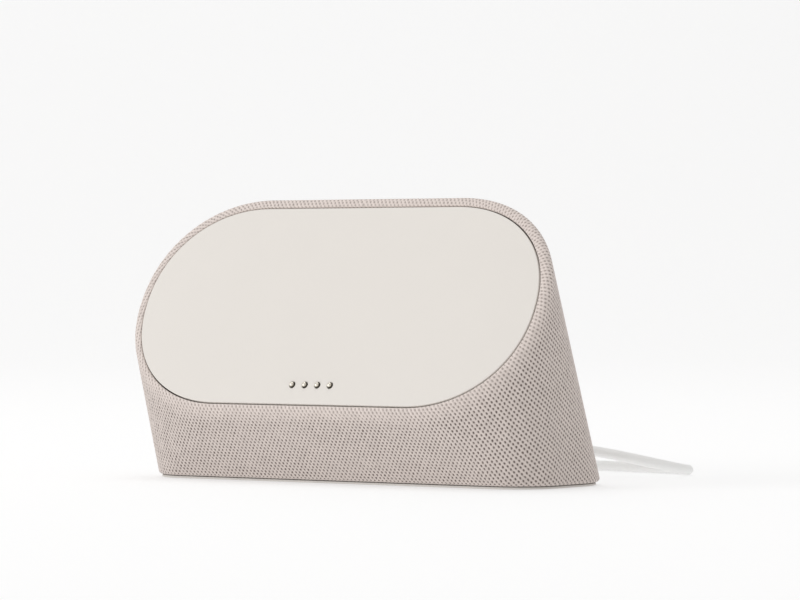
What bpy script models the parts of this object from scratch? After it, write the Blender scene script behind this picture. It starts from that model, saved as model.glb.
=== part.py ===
"""Smart speaker dock: a fabric-covered wedge with a tilted oval docking plate, four sprung contacts,
a rear-firing driver and a plug-in power lead. Metres, +Z up, the plate faces -Y, the dock stands on z = 0."""

import math

import bmesh
import bpy
from mathutils import Matrix, Vector

MM = 0.001

# Docking plate: an oval with straight long sides, leaning back
PLATE_TILT = math.radians(25.7)
PLATE_HALF_WIDTH = 80.6 * MM
PLATE_HALF_HEIGHT = 36.0 * MM
PLATE_END_REACH = 41.8 * MM
PLATE_ROUNDNESS = 2.12
PLATE_CENTRE = Vector((0, -18.76, 58.95)) * MM
PLATE_PROUD = 0.6 * MM
PLATE_BACK = 1.9 * MM

# Fabric rim round the plate and the footprint of the body
RIM = 4.0 * MM
RIM_RADIUS = 2.3 * MM
BASE_HALF_WIDTH = 81.3 * MM
BASE_FRONT = -22.3 * MM
BASE_BACK = 35.3 * MM
FRONT_CORNER = 16.7 * MM
BACK_CORNER = 25.4 * MM
BASE_EDGE = 2.2 * MM

# Skins, from the outside in
FABRIC = 1.2 * MM
SHELL_OUTSIDE = 1.7 * MM
SHELL_INSIDE = 3.9 * MM

# Docking contacts
PIN_COUNT = 4
PIN_PITCH = 5.2 * MM
PIN_ROW = -29.1 * MM
PIN_RADIUS = 0.85 * MM
PIN_PROUD = 1.0 * MM
PIN_HOLE = 1.2 * MM

# Full-range driver, facing out through the back wall
DRIVER_HEIGHT = 50 * MM
DRIVER_SCREW_CIRCLE = 24.4 * MM

# Power socket, lead and adapter
SOCKET_X = 28 * MM
SOCKET_Z = 10.5 * MM
PLUG_RADIUS = 4.0 * MM
PLUG_END = 56.0 * MM
CORD_RADIUS = 1.8 * MM
COIL_CENTRE = Vector((-8, 76, 0)) * MM
COIL_OUTSIDE = 27.4 * MM
COIL_INSIDE = 14.6 * MM
COIL_HEIGHT = 11.2 * MM
ADAPTER_LOW = Vector((-84, 40, 0)) * MM
ADAPTER_SIZE = Vector((46, 46, 28)) * MM

BASE_SCREWS = [(x * MM, y * MM) for x in (-54, 54) for y in (-9.5, 23)]
CORNER_STEPS = 8
ROUND_SIDES = 24


def clear_scene():
    for thing in list(bpy.data.objects):
        bpy.data.objects.remove(thing, do_unlink=True)


def make_material(name, colour, roughness, metallic=0.0):
    material = bpy.data.materials.new(name)
    material.use_nodes = True
    surface = material.node_tree.nodes["Principled BSDF"]
    surface.inputs["Base Color"].default_value = (*colour, 1)
    surface.inputs["Roughness"].default_value = roughness
    surface.inputs["Metallic"].default_value = metallic
    return material


def make_materials():
    return {
        "fabric": make_material("knit_fabric", (0.52, 0.46, 0.42), 0.9),
        "plate": make_material("plate_plastic", (0.78, 0.74, 0.70), 0.55),
        "shell": make_material("shell_plastic", (0.60, 0.57, 0.54), 0.6),
        "foot": make_material("foot_rubber", (0.62, 0.59, 0.56), 0.8),
        "contact": make_material("contact_plating", (0.85, 0.82, 0.76), 0.2, 1.0),
        "spring": make_material("spring_steel", (0.60, 0.60, 0.62), 0.3, 1.0),
        "steel": make_material("steel", (0.45, 0.45, 0.46), 0.4, 1.0),
        "magnet": make_material("magnet", (0.30, 0.30, 0.32), 0.35, 1.0),
        "board": make_material("board_laminate", (0.03, 0.18, 0.09), 0.5),
        "black": make_material("black_plastic", (0.02, 0.02, 0.02), 0.5),
        "cone": make_material("cone_paper", (0.06, 0.06, 0.065), 0.8),
        "rubber": make_material("surround_rubber", (0.015, 0.015, 0.015), 0.7),
        "copper": make_material("copper", (0.72, 0.34, 0.18), 0.35, 1.0),
        "cord": make_material("cord_jacket", (0.78, 0.78, 0.77), 0.5),
        "adapter": make_material("adapter_plastic", (0.82, 0.82, 0.81), 0.45),
    }


def add_object(name, mesh, material, matrix=None, smooth=35):
    mesh.materials.append(material)
    mesh.shade_smooth()
    mesh.set_sharp_from_angle(angle=math.radians(smooth))
    thing = bpy.data.objects.new(name, mesh)
    if matrix is not None:
        thing.matrix_world = matrix
    bpy.context.scene.collection.objects.link(thing)
    return thing


def mesh_from(name, shape):
    bmesh.ops.remove_doubles(shape, verts=shape.verts, dist=1e-7)
    bmesh.ops.dissolve_degenerate(shape, edges=shape.edges, dist=1e-7)
    bmesh.ops.recalc_face_normals(shape, faces=shape.faces)
    mesh = bpy.data.meshes.new(name)
    shape.to_mesh(mesh)
    shape.free()
    return mesh


def loop_mesh(name, rings, closed):
    """Rings of points joined into a surface; closed joins the last ring to the first, else both are capped."""
    shape = bmesh.new()
    rows = [[shape.verts.new(point) for point in ring] for ring in rings]
    pairs = list(zip(rows, rows[1:])) + ([(rows[-1], rows[0])] if closed else [])
    for low, high in pairs:
        count = len(low)
        for i in range(count):
            j = (i + 1) % count
            shape.faces.new((low[i], low[j], high[j], high[i]))
    if not closed:
        shape.faces.new(rows[0])
        shape.faces.new(rows[-1])
    return mesh_from(name, shape)


def turned_mesh(name, profile, sides=ROUND_SIDES, closed=False):
    """A profile of (radius, height) turned about local Z; closed profiles make rings and sleeves."""
    rings = []
    for radius, height in profile:
        angles = [2 * math.pi * i / sides for i in range(sides)]
        rings.append([(radius * math.cos(a), radius * math.sin(a), height) for a in angles])
    return loop_mesh(name, rings, closed)


def in_metres(profile):
    return [(radius * MM, height * MM) for radius, height in profile]


def box_mesh(name, size, bevel=0.0, segments=2):
    shape = bmesh.new()
    bmesh.ops.create_cube(shape, size=1)
    bmesh.ops.scale(shape, vec=size, verts=shape.verts)
    if bevel:
        bmesh.ops.bevel(shape, geom=shape.edges[:], offset=bevel, segments=segments, affect="EDGES", profile=0.5)
    return mesh_from(name, shape)


def add_box(name, low, high, material, bevel=0.0, segments=2):
    low, high = Vector(low), Vector(high)
    mesh = box_mesh(name, high - low, bevel, segments)
    return add_object(name, mesh, material, Matrix.Translation((low + high) / 2))


def cut(target, cutter):
    """Takes the cutter's shape out of the target for good, so that the cutter can go."""
    modifier = target.modifiers.new("cut", "BOOLEAN")
    modifier.operation = "DIFFERENCE"
    modifier.solver = "EXACT"
    modifier.object = cutter
    apply_modifiers(target)
    bpy.data.objects.remove(cutter, do_unlink=True)


def join(target, other):
    modifier = target.modifiers.new("join", "BOOLEAN")
    modifier.operation = "UNION"
    modifier.solver = "EXACT"
    modifier.object = other
    apply_modifiers(target)
    bpy.data.objects.remove(other, do_unlink=True)


def apply_modifiers(target):
    bpy.context.view_layer.update()
    graph = bpy.context.evaluated_depsgraph_get()
    result = bpy.data.meshes.new_from_object(target.evaluated_get(graph))
    target.modifiers.clear()
    old = target.data
    target.data = result
    bpy.data.meshes.remove(old)


def rod(name, radius, length, matrix, material, sides=ROUND_SIDES):
    return add_object(name, turned_mesh(name, [(radius, 0), (radius, length)], sides), material, matrix)


# ---------------------------------------------------------------- frames of reference


def plate_matrix(x=0.0, v=0.0, depth=0.0):
    """Local X along the plate, local Y up its slope, local Z into the body, depth counted from its rim."""
    slope = Vector((0, math.sin(PLATE_TILT), math.cos(PLATE_TILT)))
    inward = Vector((0, math.cos(PLATE_TILT), -math.sin(PLATE_TILT)))
    across = slope.cross(inward)
    turn = Matrix((across, slope, inward)).transposed().to_4x4()
    point = PLATE_CENTRE + across * -x + slope * v + inward * depth
    return Matrix.Translation(point) @ turn


def plate_point(x, v, depth):
    slope = Vector((0, math.sin(PLATE_TILT), math.cos(PLATE_TILT)))
    inward = Vector((0, math.cos(PLATE_TILT), -math.sin(PLATE_TILT)))
    return PLATE_CENTRE + Vector((x, 0, 0)) + slope * v + inward * depth


# ---------------------------------------------------------------- body surface
# The body is what a stretched cloth makes between the oval rim and the footprint. Each straight line of
# that cloth touches the rim and the footprint where one flat sheet would touch both.


def rim_touch(angle, grow):
    """Where a line of this outward direction touches the oval grown by an even amount."""
    n = PLATE_ROUNDNESS
    power = n / (n - 1)
    u, v = math.cos(angle), math.sin(angle)
    reach, height = PLATE_END_REACH, PLATE_HALF_HEIGHT
    total = ((reach * abs(u)) ** power + (height * abs(v)) ** power) ** (1 / power)
    x = (PLATE_HALF_WIDTH - reach) + reach**power * abs(u) ** (power - 1) * total ** (1 - power)
    y = math.copysign(height**power * abs(v) ** (power - 1) * total ** (1 - power), v)
    return x + grow * u, y + grow * v


def base_touch(angle, side, inset):
    """The same for the footprint; side runs 0 to 1 along its straight side."""
    radius = FRONT_CORNER if angle < 0 or (angle == 0 and side == 0) else BACK_CORNER
    centre_y = BASE_FRONT + FRONT_CORNER if radius == FRONT_CORNER else BASE_BACK - BACK_CORNER
    x = BASE_HALF_WIDTH - radius + (radius - inset) * math.cos(angle)
    return x, centre_y + (radius - inset) * math.sin(angle)


def matching_angle(angle, side):
    """The rim direction whose tangent meets the base's tangent on the line where their planes cross."""
    rim_up = (PLATE_CENTRE.z - RIM_RADIUS * math.sin(PLATE_TILT) - BASE_EDGE) / math.cos(PLATE_TILT)
    rim_foot = PLATE_CENTRE.y + RIM_RADIUS * math.cos(PLATE_TILT) - rim_up * math.sin(PLATE_TILT)
    bx, by = base_touch(angle, side, 0)
    target = bx + (by - rim_foot) * math.tan(angle)
    low, high = math.radians(-89.9), math.radians(89.9)
    for _ in range(40):
        middle = (low + high) / 2
        x, v = rim_touch(middle, RIM)
        if x + (rim_up + v) * math.tan(middle) < target:
            low = middle
        else:
            high = middle
    return (low + high) / 2


def body_columns():
    """(rim angle, base angle, side, straight share) of each column, from front centre round to back centre."""
    quarter = math.pi / 2
    columns = [(-quarter, -quarter, 0, share) for share in (0, 0.35, 0.7)]
    for i in range(CORNER_STEPS + 1):
        angle = -quarter + quarter * i / CORNER_STEPS
        rim = -quarter if i == 0 else matching_angle(angle if i < CORNER_STEPS else 0.0, 0)
        columns.append((rim, angle if i < CORNER_STEPS else 0.0, 0, 1))
    for i in range(CORNER_STEPS + 1):
        angle = quarter * i / CORNER_STEPS
        rim = quarter if i == CORNER_STEPS else matching_angle(angle, 1)
        columns.append((rim, angle, 1, 1))
    columns += [(quarter, quarter, 1, share) for share in (0.7, 0.35, 0)]
    return columns


COLUMNS = body_columns()


def both_sides(right):
    """The right half's points, then the left half's, as one closed ring."""
    left = [Vector((-p.x, p.y, p.z)) for p in reversed(right[1:-1])]
    return right + left


def straight_share(x, angle, share):
    return x * share if abs(abs(angle) - math.pi / 2) < 1e-6 else x


def rim_ring(grow, depth):
    right = []
    for rim, _, _, share in COLUMNS:
        x, v = rim_touch(rim, grow)
        right.append(plate_point(straight_share(x, rim, share), v, depth))
    return both_sides(right)


def base_ring(inset, height):
    right = []
    for _, base, side, share in COLUMNS:
        x, y = base_touch(base, side, inset)
        right.append(Vector((straight_share(x, base, share), y, height)))
    return both_sides(right)


def wall_ring(inset, depth=None, height=None, share=None):
    """A ring on the wall this far inside the outer surface, at a depth behind the rim, a height or a share."""
    top = rim_ring(RIM - inset, RIM_RADIUS)
    bottom = base_ring(inset, BASE_EDGE)
    inward = Vector((0, math.cos(PLATE_TILT), -math.sin(PLATE_TILT)))
    ring = []
    for a, b in zip(top, bottom):
        if depth is not None:
            t = (depth - RIM_RADIUS) / ((b - PLATE_CENTRE).dot(inward) - RIM_RADIUS)
        elif height is not None:
            t = (a.z - height) / (a.z - b.z)
        else:
            t = share
        ring.append(a.lerp(b, t))
    return ring


# ---------------------------------------------------------------- covers and frame


def back_wall(inset):
    """A point of the flat back wall at the driver's height, and the wall's outward direction."""
    top_x, top_v = rim_touch(math.pi / 2, RIM - inset)
    top = plate_point(0, top_v, RIM_RADIUS)
    bottom = Vector((0, BASE_BACK - inset, BASE_EDGE))
    along = (top - bottom).normalized()
    outward = Vector((0, along.z, -along.y))
    return bottom.lerp(top, (DRIVER_HEIGHT - bottom.z) / (top.z - bottom.z)), outward


def driver_matrix(w=0.0, radius=0.0, angle=0.0):
    """Local Z out through the back wall; w is counted from the wall's inner face."""
    point, outward = back_wall(SHELL_INSIDE)
    across = Vector((1, 0, 0))
    turn = Matrix((across, outward.cross(across), outward)).transposed().to_4x4()
    shift = Vector((radius * math.cos(angle), radius * math.sin(angle), w))
    return Matrix.Translation(point) @ turn @ Matrix.Translation(shift)


def along_y(x, y, z):
    """Local Z along world Y."""
    return Matrix.Translation((x, y, z)) @ Matrix.Rotation(-math.pi / 2, 4, "X")


def make_fabric(materials):
    inner = RIM - FABRIC
    rings = [rim_ring(0.4 * MM, 2.7 * MM), rim_ring(0.4 * MM, 0.9 * MM), rim_ring(0.8 * MM, 0.25 * MM)]
    for degrees in (0, 30, 60):
        roll = math.radians(degrees)
        grow = RIM - RIM_RADIUS + RIM_RADIUS * math.sin(roll)
        rings.append(rim_ring(grow, RIM_RADIUS - RIM_RADIUS * math.cos(roll)))
    rings += [wall_ring(0, share=share) for share in (0, 0.5, 1)]
    rings += [base_ring(0.35 * MM, 1.45 * MM), base_ring(1.2 * MM, 1.1 * MM), base_ring(7 * MM, 1.1 * MM)]
    rings += [base_ring(7 * MM, 2.3 * MM), base_ring(2.4 * MM, 2.3 * MM)]
    rings += [wall_ring(FABRIC, height=3.4 * MM), wall_ring(FABRIC, depth=2.9 * MM)]
    rings += [rim_ring(inner - 1 * MM, 1.5 * MM), rim_ring(1.5 * MM, 1.3 * MM), rim_ring(1.5 * MM, 2.7 * MM)]
    fabric = add_object("fabric_cover", loop_mesh("fabric_cover", rings, True), materials["fabric"])
    hole = rod("hole", 6.2 * MM, 20 * MM, along_y(SOCKET_X, 20 * MM, SOCKET_Z), materials["fabric"], 20)
    cut(fabric, hole)
    return fabric


def make_housing(materials):
    rings = [wall_ring(SHELL_OUTSIDE, depth=3.4 * MM), wall_ring(SHELL_OUTSIDE, height=3.2 * MM)]
    rings += [wall_ring(SHELL_INSIDE, height=3.2 * MM), wall_ring(SHELL_INSIDE, depth=3.4 * MM)]
    shell = add_object("housing_shell", loop_mesh("housing_shell", rings, True), materials["shell"])
    for x, y in BASE_SCREWS:
        post = rod("post", 4 * MM, 10.8 * MM, Matrix.Translation((x, y, 5.2 * MM)), materials["shell"], 16)
        join(shell, post)
        if y < 0:
            rib = add_box("rib", (x - 0.003, -0.0222, 0.008), (x + 0.003, y - 0.001, 0.0155), materials["shell"])
            join(shell, rib)
        hole = rod("hole", 1.6 * MM, 10.0 * MM, Matrix.Translation((x, y, 5.0 * MM)), materials["shell"], 12)
        cut(shell, hole)
    hole = rod("hole", 6.1 * MM, 20 * MM, along_y(SOCKET_X, 20 * MM, SOCKET_Z), materials["shell"], 20)
    cut(shell, hole)
    for i in range(4):
        place = driver_matrix(-2 * MM, DRIVER_SCREW_CIRCLE, math.pi / 4 + i * math.pi / 2)
        cut(shell, rod("hole", 1.2 * MM, 3.3 * MM, place, materials["shell"], 10))
    for x, y in grille_holes(5.2 * MM, 17 * MM):
        place = driver_matrix(-4 * MM) @ Matrix.Translation((x, y, 0))
        cut(shell, rod("hole", 1.9 * MM, 9 * MM, place, materials["shell"], 8))
    return shell


def grille_holes(pitch, reach):
    """Centres of a triangular pattern of sound holes inside a circle."""
    steps = int(reach / pitch) + 1
    for i in range(-steps, steps + 1):
        for j in range(-steps, steps + 1):
            x, y = pitch * (i + j / 2), pitch * j * math.sqrt(3) / 2
            if math.hypot(x, y) <= reach:
                yield x, y


def make_plate(materials):
    rings = [
        rim_ring(-0.5 * MM, -PLATE_PROUD),
        rim_ring(-0.15 * MM, -PLATE_PROUD + 0.15 * MM),
        rim_ring(0, -PLATE_PROUD + 0.5 * MM),
        rim_ring(0, PLATE_BACK),
    ]
    plate = add_object("front_plate", loop_mesh("front_plate", rings, False), materials["plate"])
    for i in range(PIN_COUNT):
        place = plate_matrix(pin_x(i), PIN_ROW, -3 * MM)
        cut(plate, rod("hole", PIN_HOLE, 8 * MM, place, materials["plate"], 20))
    return plate


def pin_x(i):
    return (i - (PIN_COUNT - 1) / 2) * PIN_PITCH


def make_frame(materials):
    rings = [rim_ring(-2.4 * MM, 2.2 * MM), rim_ring(-2.4 * MM, 4.2 * MM)]
    frame = add_object("front_frame", loop_mesh("front_frame", rings, False), materials["black"])
    window = box_mesh("window", Vector((27, 8.4, 10)) * MM)
    cut(frame, add_object("window", window, materials["black"], plate_matrix(0, PIN_ROW, 3 * MM)))
    for x in (-50 * MM, -20 * MM, 20 * MM, 50 * MM):
        cut(frame, rod("hole", 6.4 * MM, 8 * MM, plate_matrix(x, 15 * MM, 0), materials["black"], 20))
    for i, x in enumerate((-50 * MM, -20 * MM, 20 * MM, 50 * MM), 1):
        rod(f"dock_magnet_{i}", 6 * MM, 1.8 * MM, plate_matrix(x, 15 * MM, 2.3 * MM), materials["magnet"], 20)
    keeper = box_mesh("magnet_keeper", Vector((116, 14, 1)) * MM, 0.3 * MM, 1)
    add_object("magnet_keeper", keeper, materials["steel"], plate_matrix(0, 15 * MM, 5.1 * MM))


def make_base(materials):
    foot = [base_ring(2.8 * MM, 0), base_ring(2.5 * MM, 0.2 * MM), base_ring(2.5 * MM, 0.8 * MM)]
    add_object("rubber_foot", loop_mesh("rubber_foot", foot, False), materials["foot"])
    rings = [base_ring(7.6 * MM, 1.1 * MM), base_ring(7.6 * MM, 2.6 * MM)]
    rings += [base_ring(5.4 * MM, 2.6 * MM), base_ring(5.8 * MM, 4.8 * MM)]
    base = add_object("base_plate", loop_mesh("base_plate", rings, False), materials["shell"])
    profile = in_metres([(2.8, 1.4), (2.8, 2.8), (1.25, 3.1), (1.25, 13.0), (0.6, 14.2)])
    for i, (x, y) in enumerate(BASE_SCREWS, 1):
        cut(base, rod("hole", 3.2 * MM, 2.2 * MM, Matrix.Translation((x, y, 1 * MM)), materials["shell"], 16))
        cut(base, rod("hole", 1.6 * MM, 6 * MM, Matrix.Translation((x, y, 1 * MM)), materials["shell"], 16))
        screw = turned_mesh("screw", profile, 12)
        add_object(f"base_screw_{i}", screw, materials["steel"], Matrix.Translation((x, y, 0)))
    add_box("counterweight", (-0.046, -0.0165, 0.0053), (0.046, 0.0125, 0.0173), materials["steel"], 1 * MM, 1)


# ---------------------------------------------------------------- electronics


def make_electronics(materials):
    board_top = 20.6 * MM
    low = board_top + 0.3 * MM
    add_box("main_board", (-0.044, -0.016, 0.019), (0.044, 0.017, board_top), materials["board"])
    add_box("amp_shield", (-0.040, -0.012, low), (-0.018, 0.010, low + 0.003), materials["steel"], 0.4 * MM, 1)
    add_box("power_inductor", (0.028, -0.011, low), (0.038, -0.001, low + 0.0048), materials["black"], 0.8 * MM, 1)
    profile = in_metres([(3.6, 0), (4, 0.5), (4, 6.2), (3.6, 6.6)])
    for name, x in (("capacitor_a", 0.026), ("capacitor_b", 0.036)):
        mesh = turned_mesh(name, profile, 20)
        add_object(name, mesh, materials["steel"], Matrix.Translation((x, 0.0105, low)))


def make_socket(materials):
    jack = add_box(
        "dc_jack", (SOCKET_X - 0.005, 0.0143, 0.0055), (SOCKET_X + 0.005, 0.0245, 0.0187), materials["black"]
    )
    cut(jack, rod("hole", 2.95 * MM, 20 * MM, along_y(SOCKET_X, 15.6 * MM, SOCKET_Z), materials["black"], 20))
    rod("jack_pin", 0.95 * MM, 7.4 * MM, along_y(SOCKET_X, 15.9 * MM, SOCKET_Z), materials["contact"], 12)
    profile = in_metres([(4.5, 24.9), (5.7, 24.9), (5.7, 38), (4.5, 38)])
    bezel = turned_mesh("jack_bezel", profile, closed=True)
    ring = add_object("jack_bezel", bezel, materials["shell"], along_y(SOCKET_X, 0, SOCKET_Z))
    point, outward = back_wall(-0.5 * MM)
    turn = outward.to_track_quat("Z", "Y").to_matrix().to_4x4()
    trim = box_mesh("trim", Vector((200, 200, 40)) * MM)
    cut(ring, add_object("trim", trim, materials["shell"], Matrix.Translation(point + outward * 20 * MM) @ turn))


def make_contacts(materials):
    block = box_mesh("contact_block", Vector((25, 6.6, 6.2)) * MM)
    block = add_object("contact_block", block, materials["black"], plate_matrix(0, PIN_ROW, 5.4 * MM))
    pin = [(PIN_RADIUS * 0.45, -PLATE_PROUD - PIN_PROUD), (PIN_RADIUS * 0.85, -PLATE_PROUD - PIN_PROUD * 0.82)]
    pin += [(PIN_RADIUS, -PLATE_PROUD - PIN_PROUD * 0.45), (PIN_RADIUS, 3.4 * MM)]
    pin += [(0.98 * MM, 3.4 * MM), (0.98 * MM, 4.6 * MM), (0.5 * MM, 4.7 * MM)]
    barrel = in_metres([(1.08, 3.0), (1.08, 7.3), (0.4, 7.5), (0.4, 8.0), (1.3, 8.0), (1.3, 3.0)])
    for i in range(PIN_COUNT):
        cut(block, rod("hole", 1.6 * MM, 10 * MM, plate_matrix(pin_x(i), PIN_ROW, 0), materials["black"], 16))
        place = plate_matrix(pin_x(i), PIN_ROW, 0)
        add_object(f"contact_pin_{i + 1}", turned_mesh("contact_pin", pin, 20), materials["contact"], place)
        sleeve = turned_mesh("contact_barrel", barrel, 20, closed=True)
        add_object(f"contact_barrel_{i + 1}", sleeve, materials["contact"], place)
        coil_spring(f"contact_spring_{i + 1}", 0.68 * MM, 0.12 * MM, 5.05 * MM, 7.05 * MM, 3, place, materials["spring"])
    board = box_mesh("contact_board", Vector((27, 9, 0.8)) * MM)
    add_object("contact_board", board, materials["board"], plate_matrix(0, PIN_ROW, 8.9 * MM))


def coil_spring(name, radius, wire, start, end, turns, place, material):
    steps = turns * 8
    points = []
    for i in range(steps + 1):
        angle = 2 * math.pi * turns * i / steps
        height = start + (end - start) * i / steps
        points.append((radius * math.cos(angle), radius * math.sin(angle), height))
    return tube(name, points, wire, material, 0, place)


def tube(name, points, radius, material, resolution=2, place=None):
    curve = bpy.data.curves.new(name, "CURVE")
    curve.dimensions = "3D"
    curve.bevel_depth = radius
    curve.bevel_resolution = resolution
    curve.use_fill_caps = True
    spline = curve.splines.new("POLY")
    spline.points.add(len(points) - 1)
    for slot, point in zip(spline.points, points):
        slot.co = (*point, 1)
    curve.materials.append(material)
    thing = bpy.data.objects.new(name, curve)
    if place is not None:
        thing.matrix_world = place
    bpy.context.scene.collection.objects.link(thing)
    return thing


def smooth_route(knots, count):
    """Evenly spaced points on a smooth curve through the knots."""
    dense = []
    for i in range(len(knots) - 1):
        p0 = knots[i - 1] if i else knots[0] * 2 - knots[1]
        p1, p2 = knots[i], knots[i + 1]
        p3 = knots[i + 2] if i + 2 < len(knots) else knots[-1] * 2 - knots[-2]
        for step in range(20):
            t = step / 20
            a = p1 * 2
            b = (p2 - p0) * t
            c = (p0 * 2 - p1 * 5 + p2 * 4 - p3) * t * t
            d = (p1 * 3 - p0 - p2 * 3 + p3) * t * t * t
            dense.append((a + b + c + d) / 2)
    dense.append(knots[-1])
    lengths = [0.0]
    for a, b in zip(dense, dense[1:]):
        lengths.append(lengths[-1] + (b - a).length)
    route, k = [], 0
    for i in range(count):
        want = lengths[-1] * i / (count - 1)
        while k < len(dense) - 2 and lengths[k + 1] < want:
            k += 1
        share = (want - lengths[k]) / (lengths[k + 1] - lengths[k])
        route.append(dense[k].lerp(dense[k + 1], share))
    return route


def make_wiring(materials):
    """A ribbon from the contact board down to the main board, and the driver's twin lead."""
    start = plate_point(0, PIN_ROW + 3 * MM, 9.7 * MM)
    path = [start, start + Vector((0, 0.003, -0.001)), Vector((0, -0.0145, 0.0250)), Vector((0, -0.0135, 0.0212))]
    shape = []
    for i, point in enumerate(path):
        ahead = path[min(i + 1, len(path) - 1)] - path[max(i - 1, 0)]
        normal = Vector((0, -ahead.z, ahead.y)).normalized() * 0.15 * MM
        width = Vector((0.006, 0, 0))
        shape.append([point - width - normal, point + width - normal, point + width + normal, point - width + normal])
    add_object("contact_flex", loop_mesh("contact_flex", shape, False), materials["copper"])
    top = driver_matrix(-11 * MM, 17.4 * MM, math.pi / 2 + 0.5).translation
    knots = [top, top + Vector((0, 0.001, -0.004)), Vector((-0.010, 0.008, 0.0250)), Vector((-0.010, 0.006, 0.0212))]
    tube("speaker_wire", smooth_route(knots, 10), 0.7 * MM, materials["black"], 1)


# ---------------------------------------------------------------- driver


def make_driver(materials):
    """Profiles are (radius, height) in mm, height counted outwards from the back wall's inner face."""
    basket = [(21.0, -0.4), (26.6, -0.4), (26.6, -1.9), (22.2, -1.9), (16.2, -9.6), (16.2, -12.4)]
    basket += [(8, -12.4), (8, -11.6), (15.3, -11.6), (15.3, -9.2), (20.8, -2.3), (21.0, -1.9)]
    spider = [(6.6, -8.6), (9, -8.2), (12, -8.9), (15.0, -8.7), (15.0, -9.0), (12, -9.2), (9, -8.5), (6.6, -8.9)]
    surround = [(16.5, -2.6), (16.5, -2.1), (17.2, -1.3), (18.5, -0.8), (19.8, -1.3), (20.6, -2.0)]
    surround += [(20.6, -2.5), (19.6, -1.8), (18.5, -1.3), (17.4, -1.8)]
    yoke = [(5.2, -12.9), (5.2, -18.9), (14, -18.9), (14, -21.3), (2.2, -21.3), (2.2, -12.9)]
    rings = {
        "driver_basket": ("black", basket),
        "driver_top_plate": ("steel", [(6.9, -12.7), (13, -12.7), (13, -14.7), (6.9, -14.7)]),
        "driver_magnet": ("magnet", [(8.5, -15.0), (14, -15.0), (14, -18.6), (8.5, -18.6)]),
        "driver_yoke": ("steel", yoke),
        "voice_coil": ("copper", [(5.75, -6.6), (6.25, -6.6), (6.25, -15.4), (5.75, -15.4)]),
        "driver_spider": ("cone", spider),
        "driver_cone": ("cone", [(6.6, -7.9), (16.2, -2.6), (16.2, -2.2), (6.6, -7.4)]),
        "driver_surround": ("rubber", surround),
    }
    for name, (slot, profile) in rings.items():
        mesh = turned_mesh(name, in_metres(profile), closed=True)
        add_object(name, mesh, materials[slot], driver_matrix())
    cap = in_metres([(6.4, -6.3), (6.4, -6.0), (5.6, -5.4), (3.6, -4.8), (1.2, -4.6)])
    add_object("driver_dust_cap", turned_mesh("driver_dust_cap", cap), materials["cone"], driver_matrix())
    screw = in_metres([(1.9, 0), (1.9, 1.2), (0.95, 1.2), (0.95, 4.6)])
    frame = bpy.data.objects["driver_basket"]
    for i in range(4):
        angle = math.pi / 4 + i * math.pi / 2
        place = driver_matrix(-4 * MM, DRIVER_SCREW_CIRCLE, angle)
        cut(frame, rod("hole", 1.3 * MM, 6 * MM, place, materials["black"], 12))
        place = driver_matrix(-3.5 * MM, DRIVER_SCREW_CIRCLE, angle)
        add_object(f"driver_screw_{i + 1}", turned_mesh("driver_screw", screw, 12), materials["steel"], place)


# ---------------------------------------------------------------- power lead


def make_lead(materials):
    plug = [(2.75, 16.2), (2.75, 27.0), (3.6, 27.0), (4.0, 27.6), (4.0, 42.0), (3.4, 43.5), (2.5, 56.0)]
    mesh = turned_mesh("dc_plug", in_metres(plug), 20)
    body = add_object("dc_plug", mesh, materials["cord"], along_y(SOCKET_X, 0, SOCKET_Z))
    cut(body, rod("hole", 1.3 * MM, 9.4 * MM, along_y(SOCKET_X, 15 * MM, SOCKET_Z), materials["cord"], 12))

    knots = [(28, 56.3, 10.5), (28.4, 61, 10.4), (31.8, 66.4, 10.0), (38.4, 70.4, 9.2), (46.8, 73.8, 7.9)]
    knots += [(55.5, 78.3, 6.0), (62.2, 84.6, 4.0), (65.7, 92.0, 2.4), (64.6, 97.4, 1.9), (60.0, 101.0, 1.8)]
    knots += [(51.0, 103.4, 1.8), (36.0, 106.6, 1.8), (20.0, 109.4, 1.8), (8.0, 108.6, 1.8), (-2.9, 105.4, 1.8)]
    knots = [Vector(knot) * MM for knot in knots]
    tube("power_cord", smooth_route(knots, 30), CORD_RADIUS, materials["cord"])

    ring = [(COIL_INSIDE, 0), (COIL_OUTSIDE, 0), (COIL_OUTSIDE, COIL_HEIGHT), (COIL_INSIDE, COIL_HEIGHT)]
    mesh = turned_mesh("cord_coil", ring, 32, closed=True)
    add_object("cord_coil", mesh, materials["cord"], Matrix.Translation(COIL_CENTRE))

    tail = [(-23.2, 102.4, 1.8), (-33, 107.0, 1.8), (-43.5, 109.6, 2.6), (-53.2, 109.0, 5.0), (-57.6, 104.8, 7.5)]
    tail = [Vector(knot) * MM for knot in tail + [(-58, 98.6, 8.0)]]
    tube("cord_tail", smooth_route(tail, 14), CORD_RADIUS, materials["cord"])


def make_adapter(materials):
    adapter = add_box(
        "wall_adapter", ADAPTER_LOW, ADAPTER_LOW + ADAPTER_SIZE, materials["adapter"], 4 * MM, 3
    )
    back = ADAPTER_LOW.y + ADAPTER_SIZE.y
    relief = in_metres([(3.6, -2), (3.6, 1), (2.5, 12)])
    x = ADAPTER_LOW.x + 26 * MM
    boot = add_object("boot", turned_mesh("boot", relief, 16), materials["adapter"], along_y(x, back, 8 * MM))
    join(adapter, boot)
    centre = ADAPTER_LOW + ADAPTER_SIZE / 2
    top = ADAPTER_LOW.z + ADAPTER_SIZE.z + 0.3 * MM
    for name, side in (("adapter_blade_left", -1), ("adapter_blade_right", 1)):
        x = centre.x + side * 6.35 * MM
        low = (x - 0.75 * MM, centre.y - 3.15 * MM, top)
        high = (x + 0.75 * MM, centre.y + 3.15 * MM, top + 17 * MM)
        add_box(name, low, high, materials["spring"], 0.4 * MM, 1)


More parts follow.
